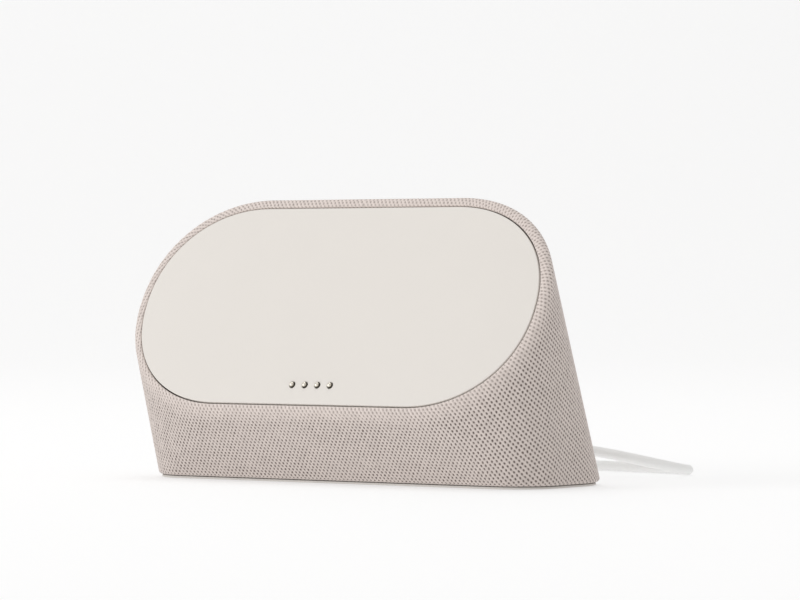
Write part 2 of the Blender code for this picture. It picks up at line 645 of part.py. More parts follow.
def main():
    clear_scene()
    materials = make_materials()
    make_fabric(materials)
    make_housing(materials)
    make_plate(materials)
    make_frame(materials)
    make_base(materials)
    make_electronics(materials)
    make_socket(materials)
    make_contacts(materials)
    make_wiring(materials)
    make_driver(materials)
    make_lead(materials)
    make_adapter(materials)


main()
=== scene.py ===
import math

import bmesh
import bpy
import numpy as np
from mathutils import Matrix, Vector


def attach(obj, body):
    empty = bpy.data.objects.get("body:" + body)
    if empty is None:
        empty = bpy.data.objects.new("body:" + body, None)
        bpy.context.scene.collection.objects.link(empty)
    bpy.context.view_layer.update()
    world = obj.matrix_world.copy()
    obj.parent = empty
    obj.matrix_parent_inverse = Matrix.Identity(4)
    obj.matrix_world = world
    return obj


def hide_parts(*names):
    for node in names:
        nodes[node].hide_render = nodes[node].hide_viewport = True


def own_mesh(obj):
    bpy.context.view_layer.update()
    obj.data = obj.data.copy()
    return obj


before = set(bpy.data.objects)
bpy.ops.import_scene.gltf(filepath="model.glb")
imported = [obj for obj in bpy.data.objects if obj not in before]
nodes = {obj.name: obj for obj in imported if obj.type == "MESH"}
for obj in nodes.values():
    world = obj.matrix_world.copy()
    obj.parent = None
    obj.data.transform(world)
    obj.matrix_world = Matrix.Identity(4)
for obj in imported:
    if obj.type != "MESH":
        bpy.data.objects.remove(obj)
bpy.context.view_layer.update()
mm = 0.001

# where the camera stands, and how the studio is lit
view = {
    "around": 36.39,  # degrees towards the object's right
    "above": 0.33,
    "distance": 1.4383,
    "aimHeight": 0.045,
    "slideRight": 0.01062,
    "slideUp": 0.01560,
    "lens": 193.3,
    "sensor": 36,
    "nearest": 0.05,
}
studio = {
    "worldStrength": 0.59,
    "worldColour": (1.0, 0.995, 0.99),
    "keyPower": 21.0,
    "keyPlace": (-1.5, -2.3, 0.9),
    "keySize": 2.0,
    "topPower": 12.0,
    "topPlace": (-0.25, 0.0, 2.2),
    "lightAim": (0, 0, 0.05),
    "floorColour": (0.58, 0.58, 0.58),
    "floorGlow": 0.458,
    "floorRoughness": 0.9,
    "floorShine": 0.1,
    "floorDrop": 0.0001,
    "sweepBack": 2.6,
    "sweepFront": 2.4,
    "sweepWidth": 3.2,
    "sweepRadius": 0.9,
    "sweepHeight": 2.6,
    "sweepSteps": 16,
}


def buildCamera():
    turn, rise = math.radians(view["around"]), math.radians(view["above"])
    level = math.cos(rise)
    back = Vector((math.sin(turn) * level, -math.cos(turn) * level, math.sin(rise)))
    right = Vector((math.cos(turn), math.sin(turn), 0))
    up = back.cross(right)
    place = Vector((0, 0, view["aimHeight"])) + back * view["distance"]
    place += right * view["slideRight"] + up * view["slideUp"]
    camera = linked("camera", bpy.data.cameras.new("camera"))
    camera.data.sensor_width = view["sensor"]
    camera.data.lens = view["lens"]
    camera.data.clip_start = view["nearest"]
    axes = Matrix((right, up, back)).transposed().to_4x4()
    camera.matrix_world = Matrix.Translation(place) @ axes
    bpy.context.scene.camera = camera


def addAreaLight(name, place, size, power):
    lamp = bpy.data.lights.new(name, "AREA")
    lamp.shape = "DISK"
    lamp.size = size
    lamp.energy = power
    light = linked(name, lamp)
    aim = Vector(studio["lightAim"]) - Vector(place)
    turned = aim.to_track_quat("-Z", "Y").to_matrix().to_4x4()
    light.matrix_world = Matrix.Translation(place) @ turned


def buildStudio():
    scene = bpy.context.scene
    scene.view_settings.view_transform = "Standard"
    world = bpy.data.worlds.new("studio")
    world.use_nodes = True
    sky = world.node_tree.nodes["Background"]
    sky.inputs["Color"].default_value = (*studio["worldColour"], 1)
    sky.inputs["Strength"].default_value = studio["worldStrength"]
    scene.world = world
    addAreaLight("keyLight", studio["keyPlace"], studio["keySize"], studio["keyPower"])
    addAreaLight("topLight", studio["topPlace"], studio["keySize"], studio["topPower"])

    # a floor that curves up into a wall behind the object, seen square on by the camera
    turn = math.radians(view["around"])
    away = Vector((-math.sin(turn), math.cos(turn), 0))
    across = Vector((math.cos(turn), math.sin(turn), 0))
    profile = [(-studio["sweepFront"], 0.0)]
    radius, steps = studio["sweepRadius"], studio["sweepSteps"]
    for i in range(steps + 1):
        bend = math.pi / 2 * i / steps
        reach = studio["sweepBack"] - radius + radius * math.sin(bend)
        profile.append((reach, radius - radius * math.cos(bend)))
    profile.append((studio["sweepBack"], studio["sweepHeight"]))
    sweep = bmesh.new()
    half = across * studio["sweepWidth"]
    rows = []
    for reach, height in profile:
        middle = away * reach + Vector((0, 0, height - studio["floorDrop"]))
        rows.append((sweep.verts.new(middle - half), sweep.verts.new(middle + half)))
    for (a, b), (c, d) in zip(rows, rows[1:]):
        sweep.faces.new((a, b, d, c)).smooth = True
    mesh = bpy.data.meshes.new("floor")
    sweep.to_mesh(mesh)
    sweep.free()
    floor = linked("floor", mesh)
    paper = bpy.data.materials.new("floorPaper")
    paper.use_nodes = True
    surface = paper.node_tree.nodes["Principled BSDF"]
    surface.inputs["Base Color"].default_value = (*studio["floorColour"], 1)
    surface.inputs["Roughness"].default_value = studio["floorRoughness"]
    surface.inputs["Specular IOR Level"].default_value = studio["floorShine"]
    surface.inputs["Emission Color"].default_value = (1, 1, 1, 1)
    surface.inputs["Emission Strength"].default_value = studio["floorGlow"]
    mesh.materials.append(paper)


joining = {"sharpAt": 35, "weld": 1e-7}  # degrees and metres


def addPiece(name, mesh, material, body, takes, sharpAt=joining["sharpAt"]):
    mesh.materials.clear()
    mesh.materials.append(material)
    mesh.shade_smooth()
    if sharpAt:
        mesh.set_sharp_from_angle(angle=math.radians(sharpAt))
    piece = linked(name, mesh)
    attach(piece, body)
    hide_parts(*takes)
    return piece


def meshFromRings(name, rings, closed=False, place=None):
    # rings of equally many points, joined in order; capped at both ends, or closed on itself
    skin = bmesh.new()
    rows = [[skin.verts.new(Vector(point) * mm) for point in ring] for ring in rings]
    pairs = list(zip(rows, rows[1:])) + ([(rows[-1], rows[0])] if closed else [])
    for low, high in pairs:
        for i in range(len(low)):
            j = (i + 1) % len(low)
            skin.faces.new((low[i], low[j], high[j], high[i]))
    if not closed:
        skin.faces.new(rows[0])
        skin.faces.new(rows[-1])
    bmesh.ops.remove_doubles(skin, verts=skin.verts, dist=joining["weld"])
    bmesh.ops.recalc_face_normals(skin, faces=skin.faces)
    if place is not None:
        bmesh.ops.transform(skin, matrix=place, verts=skin.verts)
    mesh = bpy.data.meshes.new(name)
    skin.to_mesh(mesh)
    skin.free()
    return mesh


def turnedMesh(name, profile, place, sides):
    angles = [2 * math.pi * i / sides for i in range(sides)]
    rings = [[(radius * math.cos(a), radius * math.sin(a), height) for a in angles]
             for radius, height in profile]
    return meshFromRings(name, rings, place=place)


def quarterTurn(steps):
    # angles from 0 to a right angle
    return [math.pi / 2 * i / steps for i in range(steps + 1)]


def linked(name, data):
    thing = bpy.data.objects.new(name, data)
    bpy.context.scene.collection.objects.link(thing)
    return thing


def realised(source):
    # the evaluated object as one plain mesh, with the helper object gone
    bpy.context.view_layer.update()
    graph = bpy.context.evaluated_depsgraph_get()
    mesh = bpy.data.meshes.new_from_object(source.evaluated_get(graph))
    old = source.data
    bpy.data.objects.remove(source, do_unlink=True)
    if old.users == 0:
        bpy.data.meshes.remove(old)
    return mesh


def newTree(name, kind, inputs, outputs):
    tree = bpy.data.node_groups.new(name, kind)
    for label, socketType, value in inputs:
        socket = tree.interface.new_socket(label, in_out="INPUT", socket_type=socketType)
        if value is not None:
            socket.default_value = value
    for label, socketType in outputs:
        tree.interface.new_socket(label, in_out="OUTPUT", socket_type=socketType)
    return tree, tree.nodes.new("NodeGroupInput"), tree.nodes.new("NodeGroupOutput")


def addNode(tree, kind, settings=None, **links):
    # links are given by input number, as in0=..., in1=...; a socket is wired and a plain value is set
    node = tree.nodes.new(kind)
    for key, value in (settings or {}).items():
        setattr(node, key, value)
    for key, value in links.items():
        socket = node.inputs[int(key[2:])]
        if isinstance(value, bpy.types.NodeSocket):
            tree.links.new(value, socket)
        else:
            socket.default_value = value
    return node


def doMath(tree, operation, first, second=None, third=None):
    values = {f"in{i}": value for i, value in enumerate((first, second, third)) if value is not None}
    return addNode(tree, "ShaderNodeMath", {"operation": operation}, **values).outputs[0]


def doVector(tree, operation, first, second):
    node = addNode(tree, "ShaderNodeVectorMath", {"operation": operation}, in0=first, in1=second)
    return node.outputs["Value" if operation == "DOT_PRODUCT" else "Vector"]


def scaled(tree, vector, amount):
    node = addNode(tree, "ShaderNodeVectorMath", {"operation": "SCALE"}, in0=vector)
    tree.links.new(amount, node.inputs["Scale"])
    return node.outputs[0]


def ramped(tree, value, low, high, start=0.0, end=1.0):
    node = addNode(tree, "ShaderNodeMapRange", in0=value, in1=low, in2=high, in3=start, in4=end)
    return node.outputs[0]


def smoothed(tree, value, low, high):
    style = {"interpolation_type": "SMOOTHSTEP"}
    return addNode(tree, "ShaderNodeMapRange", style, in0=value, in1=low, in2=high).outputs[0]


# the body in millimetres; depths behind the rim are counted square to the plate
shape = {
    "tilt": 25.7,
    "plateHalfWidth": 80.6,
    "plateHalfHeight": 36.0,
    "plateEndReach": 41.8,
    "plateRoundness": 2.12,
    "plateSet": -18.76,
    "plateHeight": 58.95,
    "plateProud": 0.12,
    "plateBack": 1.9,
    "rim": 4.0,
    "rimRadius": 2.3,
    "baseHalfWidth": 81.3,
    "baseFront": -22.3,
    "baseBack": 35.3,
    "frontCorner": 16.7,
    "backCorner": 25.4,
    "baseEdge": 2.2,
    "straightSteps": 60,
    "cornerSteps": 420,
    "steepest": 89.9,  # degrees, and the halvings that find a rim direction within them
    "halvings": 40,
}
tilt = math.radians(shape["tilt"])
plateCentre = np.array((0, shape["plateSet"], shape["plateHeight"]))
acrossPlate = np.array((1.0, 0, 0))
upPlate = np.array((0, math.sin(tilt), math.cos(tilt)))
intoPlate = np.array((0, math.cos(tilt), -math.sin(tilt)))


def ovalTouch(angle, grow):
    # where a line of this outward direction touches the oval grown by an even amount
    power = shape["plateRoundness"] / (shape["plateRoundness"] - 1)
    reach, height = shape["plateEndReach"], shape["plateHalfHeight"]
    u, v = np.cos(angle), np.sin(angle)
    total = ((reach * np.abs(u)) ** power + (height * np.abs(v)) ** power) ** (1 / power)
    x = reach ** power * np.abs(u) ** (power - 1) * total ** (1 - power)
    x = shape["plateHalfWidth"] - reach + x
    y = np.sign(v) * height ** power * np.abs(v) ** (power - 1) * total ** (1 - power)
    return x + grow * u, y + grow * v


def footTouch(angle, side, inset):
    # side is 0 on the front corner, 1 on the back one and between on the straight flank
    radius = np.where(side == 0, shape["frontCorner"], shape["backCorner"])
    front = shape["baseFront"] + shape["frontCorner"]
    back = shape["baseBack"] - shape["backCorner"]
    x = shape["baseHalfWidth"] - radius + (radius - inset) * np.cos(angle)
    return x, front + (back - front) * side + (radius - inset) * np.sin(angle)


def matchingAngle(angle, side):
    # the rim direction whose tangent meets the foot's tangent on the line where their planes cross
    drop = shape["plateHeight"] - shape["rimRadius"] * math.sin(tilt) - shape["baseEdge"]
    rimUp = drop / math.cos(tilt)
    rimFoot = shape["plateSet"] + shape["rimRadius"] * math.cos(tilt) - rimUp * math.sin(tilt)
    footX, footY = footTouch(angle, side, 0)
    target = footX + (footY - rimFoot) * np.tan(angle)
    high = np.full(len(angle), math.radians(shape["steepest"]))
    low = -high
    for _ in range(shape["halvings"]):
        middle = (low + high) / 2
        x, v = ovalTouch(middle, shape["rim"])
        less = x + (rimUp + v) * np.tan(middle) < target
        low, high = np.where(less, middle, low), np.where(less, high, middle)
    return (low + high) / 2


def bodyColumns():
    # the right half from front centre to back centre: the rim's direction, the foot's, the place
    # on the side, and the share of the straight
    quarter = math.pi / 2
    straight = np.linspace(0, 1, shape["straightSteps"], endpoint=False)
    corner = np.linspace(0, quarter, shape["cornerSteps"], endpoint=False)
    front, flank, back = corner[1:] - quarter, straight, corner
    ones = np.ones_like
    frontRim = matchingAngle(front, 0 * front)
    flankRim = matchingAngle(0 * flank, flank)
    backRim = matchingAngle(back, ones(back))
    ends = -quarter * ones(straight), [-quarter], [quarter], quarter * ones(straight)
    rim = [*ends[:2], frontRim, flankRim, backRim, *ends[2:]]
    foot = [*ends[:2], front, 0 * flank, back, *ends[2:]]
    side = [0 * straight, [0], 0 * front, flank, ones(back), [1], ones(straight)]
    home = 1 - straight - 1 / shape["straightSteps"]
    share = [straight, [1], ones(front), ones(flank), ones(back), [1], home]
    return [np.concatenate(part) for part in (rim, foot, side, share)]


columnRim, columnFoot, columnSide, columnShare = bodyColumns()


def platePoints(x, v, depth):
    x, v, depth = (np.asarray(part, float)[..., None] for part in (x, v, depth))
    return plateCentre + acrossPlate * x + upPlate * v + intoPlate * depth


def straightened(x, angle):
    return np.where(np.abs(np.abs(angle) - math.pi / 2) < 1e-6, x * columnShare, x)


def rimCurve(grow, depth):
    x, v = ovalTouch(columnRim, grow)
    return platePoints(straightened(x, columnRim), v, depth + 0 * x)


def footCurve(inset, height):
    x, y = footTouch(columnFoot, columnSide, inset)
    return np.stack([straightened(x, columnFoot), y, height + 0 * x], axis=1)


def bothSides(right):
    left = right[1:-1][::-1] * (-1, 1, 1)
    return np.concatenate([right, left])


def runAlong(closedCurve):
    # the length walked from the first point to each one, and back to the first
    ring = np.concatenate([closedCurve, closedCurve[:1]])
    return np.concatenate([[0], np.cumsum(np.linalg.norm(np.diff(ring, axis=0), axis=1))])


def evenly(closedCurve, count, *more):
    # count points evenly spaced round a closed curve, and anything else known along it
    ring = np.concatenate([closedCurve, closedCurve[:1]])
    run = runAlong(closedCurve)
    want = run[-1] * np.arange(count) / count
    columns = [np.interp(want, run, ring[:, i]) for i in range(3)]
    others = [np.interp(want, run, np.concatenate([extra, extra[:1]])) for extra in more]
    return (np.stack(columns, axis=1), *others)


def wallAt(height, inset=0.0):
    # how far back the flat back wall stands at this height
    top = rimCurve(shape["rim"] - inset, shape["rimRadius"])[-1]
    low = footCurve(inset, shape["baseEdge"])[-1]
    return low[1] + (height - low[2]) * (top[1] - low[1]) / (top[2] - low[2])


def newMaterial(name, colour, roughness, metallic=0.0, specular=0.5):
    material = bpy.data.materials.new(name)
    material.use_nodes = True
    surface = material.node_tree.nodes["Principled BSDF"]
    surface.inputs["Base Color"].default_value = (*colour, 1)
    surface.inputs["Roughness"].default_value = roughness
    surface.inputs["Metallic"].default_value = metallic
    surface.inputs["Specular IOR Level"].default_value = specular
    return material, material.node_tree, surface


def useGroup(tree, surface, group, strength, distance, values):
    # a node group whose colour, roughness and height feed this surface
    node = tree.nodes.new("ShaderNodeGroup")
    node.node_tree = group
    for label, value in values.items():
        node.inputs[label].default_value = value
    tree.links.new(node.outputs["Colour"], surface.inputs["Base Color"])
    tree.links.new(node.outputs["Roughness"], surface.inputs["Roughness"])
    bumpNode = tree.nodes.new("ShaderNodeBump")
    bumpNode.inputs["Strength"].default_value = strength
    bumpNode.inputs["Distance"].default_value = distance * mm
    tree.links.new(node.outputs["Height"], bumpNode.inputs["Height"])
    tree.links.new(bumpNode.outputs[0], surface.inputs["Normal"])
    return node


grain = {"fineDetail": 3.0, "broadScale": 60.0, "broadDetail": 2.0, "bumpStrength": 0.5}


def grainGroup():
    # fine moulded or brushed grain: a tint, a roughness and a height that change over the surface
    tree, given, out = newTree(
        "surfaceGrain",
        "ShaderNodeTree",
        [
            ("Colour", "NodeSocketColor", (0.8, 0.8, 0.8, 1)),
            ("Tint Change", "NodeSocketFloat", 0.04),
            ("Roughness", "NodeSocketFloat", 0.5),
            ("Roughness Change", "NodeSocketFloat", 0.06),
            ("Grain Scale", "NodeSocketFloat", 3000.0),
            ("Stretch", "NodeSocketVector", (1, 1, 1)),
        ],
        [
            ("Colour", "NodeSocketColor"),
            ("Roughness", "NodeSocketFloat"),
            ("Height", "NodeSocketFloat"),
        ],
    )
    place = addNode(tree, "ShaderNodeTexCoord").outputs["Object"]
    value = given.outputs
    stretched = doVector(tree, "MULTIPLY", place, value["Stretch"])
    fine = addNode(tree, "ShaderNodeTexNoise", in0=stretched, in2=value["Grain Scale"],
                   in3=grain["fineDetail"])
    broad = addNode(tree, "ShaderNodeTexNoise", in0=place, in2=grain["broadScale"],
                    in3=grain["broadDetail"])
    sway = doMath(tree, "SUBTRACT", broad.outputs[0], 0.5)
    speck = doMath(tree, "SUBTRACT", fine.outputs[0], 0.5)
    both = doMath(tree, "ADD", sway, speck)
    gain = doMath(tree, "MULTIPLY_ADD", both, value["Tint Change"], 1.0)
    tree.links.new(scaled(tree, value["Colour"], gain), out.inputs["Colour"])
    rough = doMath(tree, "MULTIPLY_ADD", both, value["Roughness Change"], value["Roughness"])
    tree.links.new(rough, out.inputs["Roughness"])
    tree.links.new(fine.outputs[0], out.inputs["Height"])
    return tree


surfaceGrain = grainGroup()


def grainedMaterial(name, colour, roughness, metallic=0.0, tint=0.04, change=0.06, scale=3000.0,
                    bump=0.02, stretch=(1, 1, 1), specular=0.5):
    material, tree, surface = newMaterial(name, colour, roughness, metallic, specular)
    useGroup(tree, surface, surfaceGrain, grain["bumpStrength"], bump, {
        "Colour": (*colour, 1),
        "Tint Change": tint,
        "Roughness": roughness,
        "Roughness Change": change,
        "Grain Scale": scale,
        "Stretch": stretch,
    })
    return material


finishes = {
    "plate": dict(colour=(0.80, 0.762, 0.716), roughness=0.62, tint=0.02, scale=2600.0, bump=0.03,
                  specular=0.35),
    "foot": dict(colour=(0.66, 0.63, 0.60), roughness=0.75, tint=0.05, scale=2200.0, bump=0.03),
    "shell": dict(colour=(0.62, 0.59, 0.56), roughness=0.55, tint=0.04, scale=2400.0, bump=0.03),
    "cord": dict(colour=(0.93, 0.93, 0.92), roughness=0.42, tint=0.03, scale=1200.0, bump=0.02),
    "adapter": dict(colour=(0.80, 0.79, 0.78), roughness=0.38, tint=0.02, scale=2000.0, bump=0.02),
    "contact": dict(colour=(0.84, 0.79, 0.70), roughness=0.34, metallic=1.0, tint=0.05, scale=4000.0,
                    bump=0.005),
    "spring": dict(colour=(0.62, 0.61, 0.58), roughness=0.30, metallic=1.0, stretch=(1, 1, 8),
                   bump=0.01),
    "screw": dict(colour=(0.42, 0.41, 0.40), roughness=0.38, metallic=1.0, tint=0.12, bump=0.01),
    "steel": dict(colour=(0.50, 0.50, 0.50), roughness=0.42, metallic=1.0, tint=0.10,
                  stretch=(8, 1, 1), bump=0.01),
    "tin": dict(colour=(0.72, 0.72, 0.70), roughness=0.34, metallic=1.0, tint=0.08,
                stretch=(1, 6, 1), bump=0.01),
    "magnet": dict(colour=(0.16, 0.16, 0.17), roughness=0.50, metallic=0.6, tint=0.20, bump=0.03),
    "board": dict(colour=(0.02, 0.12, 0.07), roughness=0.45, tint=0.25, scale=900.0, bump=0.02),
    "black": dict(colour=(0.025, 0.025, 0.027), roughness=0.55, tint=0.20, bump=0.03),
    "ribbon": dict(colour=(0.55, 0.30, 0.06), roughness=0.40, tint=0.15, bump=0.01),
    "paper": dict(colour=(0.05, 0.05, 0.052), roughness=0.85, tint=0.30, scale=1500.0, bump=0.08),
    "rubber": dict(colour=(0.03, 0.03, 0.03), roughness=0.60, tint=0.20, bump=0.02),
    "copper": dict(colour=(0.72, 0.38, 0.22), roughness=0.35, metallic=1.0, stretch=(1, 1, 20),
                   bump=0.02),
}
paint = {name: grainedMaterial(name + "Finish", **values) for name, values in finishes.items()}


knit = {
    "around": 269,  # mesh steps of one hole's width, all the way round
    "holeStep": 1.60,
    "rowStep": 1.15,
    "firstRow": 0.35,  # from the plate's edge to the first row of holes
    "acrossHole": 6,  # mesh columns and rows for each hole
    "downHole": 3,
    "pieces": 7,
    "holeDepth": 0.34,
    "holeEdge": 0.12,
    "yarnRise": 0.05,
    "unevenness": 0.10,
    "seed": 7,
    "thickness": 0.9,
    "socketHole": 6.0,
    "fadeReach": 4.5,  # how far from the plate the painted hole shade is weakened and the painted rim highlight reaches
    # at the plate: the share of painted hole shade kept, and the painted highlight's gain
    "rimHoleShade": 0.40,
    "rimHighlight": 1.13,
    "yarnColour": (0.66, 0.586, 0.547),
    # painted shade for the holes
    "holeShadeColour": (0.19, 0.152, 0.136),
    # the hem's rings: how far in from the body's edge, and how high
    "hem": [(0.08, 1.85), (0.25, 1.52), (0.55, 1.22), (0.95, 1.02),
            (1.5, 0.92), (2.2, 0.9), (2.5, 0.98), (7.0, 1.1)],
    "hemStep": 0.45,  # rows of the pattern from one ring of the hem to the next
    "hemLayout": 0.004,
}
roll = {
    "flat": 1.7,  # how far the cover lies flat beside the plate, and how much less for a leaning wall
    "lessInward": 0.70,
    "lessOutward": 1.0,
    "lip": 0.8,  # where it turns down into the gap round the plate
    "lipRuns": (-1.5, -0.6, -0.25, 0),
    "lipGrows": (0.40, 0.42, 0.56),
    "lipDepths": (1.2, 0.35, 0.08, 0.0),
    "lipRows": 4,
}
yarn = {
    "reliefScale": 900.0,  # noise that makes the loops uneven
    "waveScale": 1100.0,
    "wave": 0.22,
    "slant": 0.28,  # how much the holes lean along the strands
    "holeEdge": 0.02,
    "holeMiddle": 0.75,
    "cellScale": 750.0,
    "cellChange": 0.7,
    "cellLeast": 0.62,
    # painted highlight along the strands
    "strandHighlight": 0.06,
    "fibreScale": 5200.0,
    "broadScale": 420.0,
    "melange": 0.22,
    "holeHeight": 1.2,
    "fibreRoughness": 0.1,
    "leastRoughness": 0.82,
    "bump": 0.08,
    "bumpStrength": 0.6,
    "roughness": 0.88,
    "shine": 0.2,
    "sheen": 0.20,
    "sheenRoughness": 0.5,
}
socket = {"x": 28.0, "z": 10.5}


def unrolled(top, low):
    # the wall laid out flat, strip by strip, from the front centre: where its top and bottom edges come
    flatTop, flatLow = [np.zeros(2)], [np.array((0, -np.linalg.norm(low[0] - top[0])))]

    def third(first, second, toFirst, toSecond, side):
        gap = second - first
        size = max(np.linalg.norm(gap), 1e-9)
        along = (toFirst ** 2 - toSecond ** 2 + size ** 2) / (2 * size)
        off = math.sqrt(max(toFirst ** 2 - along ** 2, 0))
        gap = gap / size
        return first + gap * along + side * off * np.array((-gap[1], gap[0]))

    for i in range(1, len(top)):
        a, b = flatTop[-1], flatLow[-1]
        toTop = np.linalg.norm(top[i] - top[i - 1])
        toLow = np.linalg.norm(top[i] - low[i - 1])
        c = third(a, b, toTop, toLow, 1)
        d = third(b, c, np.linalg.norm(low[i] - low[i - 1]), np.linalg.norm(low[i] - top[i]), -1)
        flatTop.append(c)
        flatLow.append(d)
    return np.array(flatTop), np.array(flatLow)


def coverRows():
    # curves round the cover, one for each mesh row, as right-hand halves with their places in the knit
    rim, radius = shape["rim"], shape["rimRadius"]
    top, low = rimCurve(rim, radius), footCurve(0, shape["baseEdge"])
    outward = np.cos(columnRim)[:, None] * acrossPlate + np.sin(columnRim)[:, None] * upPlate
    fall = (low - top) @ intoPlate
    lean = np.arctan2(np.sum((low - top) * outward, axis=1), fall)
    flatEnd = roll["flat"] + np.where(lean < 0, -lean * roll["lessInward"], -lean * roll["lessOutward"])
    bend = ((rim - flatEnd) * np.cos(lean) - radius * np.sin(lean)) / (1 - np.sin(lean))
    sweep = math.pi / 2 - lean
    lip = roll["lip"]
    flat = flatEnd - lip
    arc = bend * sweep
    arcDepth = bend - bend * np.cos(sweep)
    runEnd = flat + arc + (radius + fall - arcDepth) / np.cos(lean)
    start = rimCurve(flatEnd + bend * np.sin(sweep), arcDepth)
    flatTop, flatLow = unrolled(start, low)
    ahead = np.gradient(flatTop, axis=0)
    length = np.linalg.norm(ahead, axis=1)
    # the top stands still over the flat flank, so its direction there comes from either side
    moving, column = length > 1e-4, np.arange(len(length))
    ahead = ahead / np.maximum(length, 1e-9)[:, None]
    ahead = [np.interp(column, column[moving], part[moving]) for part in ahead.T]
    upward = np.stack([-ahead[1], ahead[0]], axis=1)
    step = knit["rowStep"] / knit["downHole"]
    last = int((runEnd.max() - knit["firstRow"]) / step) + 2
    runs = knit["firstRow"] + step * np.arange(-roll["lipRows"], last)
    rows = []
    for run in runs:
        here = np.minimum(run, runEnd)
        if run < 0:
            grow = np.interp(run, roll["lipRuns"], (*roll["lipGrows"], lip))
            depth = np.interp(run, roll["lipRuns"], roll["lipDepths"])
            points = rimCurve(grow, depth)
        else:
            turn = np.clip((here - flat) / bend, 0, sweep)
            grow = np.where(here < flat, lip + here, flatEnd + bend * np.sin(turn))
            points = rimCurve(grow, bend - bend * np.cos(turn))
        share = np.clip((here - flat - arc) / (runEnd - flat - arc), 0, 1)[:, None]
        points = points + (low - start) * share
        above = np.maximum(flat + arc - here, 0)[:, None]
        place = flatTop + (flatLow - flatTop) * share + upward * above
        rows.append((points, place, run >= runEnd))
    return rows


def knitWaves(tree, parts, wander):
    # the two waves of the pattern, whose crests meet in the holes, and the strands between them
    around = doMath(tree, "MULTIPLY", doMath(tree, "ADD", parts[0], wander), 2 * math.pi)
    down = doMath(tree, "MULTIPLY", doMath(tree, "ADD", parts[1], wander), math.pi)
    return around, down, doMath(tree, "COSINE", doMath(tree, "ADD", around, down))


def reliefTree():
    # the knit's holes and yarns, raised from the mesh by the place of each point in the pattern
    tree, given, out = newTree(
        "knitRelief",
        "GeometryNodeTree",
        [
            ("Geometry", "NodeSocketGeometry", None),
            ("Hole Depth", "NodeSocketFloat", 0.0003),
            ("Hole Edge", "NodeSocketFloat", 0.1),
            ("Yarn Rise", "NodeSocketFloat", 0.0001),
            ("Unevenness", "NodeSocketFloat", 0.1),
            ("Seed", "NodeSocketFloat", 0.0),
            ("Yarn", "NodeSocketMaterial", None),
        ],
        [("Geometry", "NodeSocketGeometry")],
    )
    read = addNode(tree, "GeometryNodeInputNamedAttribute", {"data_type": "FLOAT_VECTOR"})
    read.inputs["Name"].default_value = "knitPlace"
    parts = addNode(tree, "ShaderNodeSeparateXYZ", in0=read.outputs["Attribute"]).outputs
    noise = tree.nodes.new("ShaderNodeTexNoise")
    noise.noise_dimensions = "4D"
    tree.links.new(given.outputs["Seed"], noise.inputs["W"])
    noise.inputs["Scale"].default_value = yarn["reliefScale"]
    noise.inputs["Detail"].default_value = 1.0
    wander = doMath(tree, "SUBTRACT", noise.outputs["Fac"], 0.5)
    wander = doMath(tree, "MULTIPLY", wander, given.outputs["Unevenness"])
    around, down, strand = knitWaves(tree, parts, wander)
    both = doMath(tree, "MULTIPLY", doMath(tree, "COSINE", around), doMath(tree, "COSINE", down))
    hole = smoothed(tree, both, given.outputs["Hole Edge"], 1.0)
    rise = doMath(tree, "MULTIPLY", doMath(tree, "MULTIPLY", strand, -0.5), given.outputs["Yarn Rise"])
    height = doMath(tree, "SUBTRACT", rise, doMath(tree, "MULTIPLY", hole, given.outputs["Hole Depth"]))
    height = doMath(tree, "MULTIPLY", height, parts[2])
    normal = tree.nodes.new("GeometryNodeInputNormal")
    move = tree.nodes.new("GeometryNodeSetPosition")
    tree.links.new(given.outputs["Geometry"], move.inputs["Geometry"])
    tree.links.new(scaled(tree, normal.outputs[0], height), move.inputs["Offset"])
    whole = addNode(tree, "GeometryNodeRealizeInstances", in0=move.outputs[0])
    finish = tree.nodes.new("GeometryNodeSetMaterial")
    tree.links.new(whole.outputs[0], finish.inputs["Geometry"])
    tree.links.new(given.outputs["Yarn"], finish.inputs["Material"])
    tree.links.new(finish.outputs[0], out.inputs["Geometry"])
    return tree


def setInputs(modifier, values):
    for item in modifier.node_group.interface.items_tree:
        if item.item_type == "SOCKET" and item.in_out == "INPUT" and item.name in values:
            modifier[item.identifier] = values[item.name]


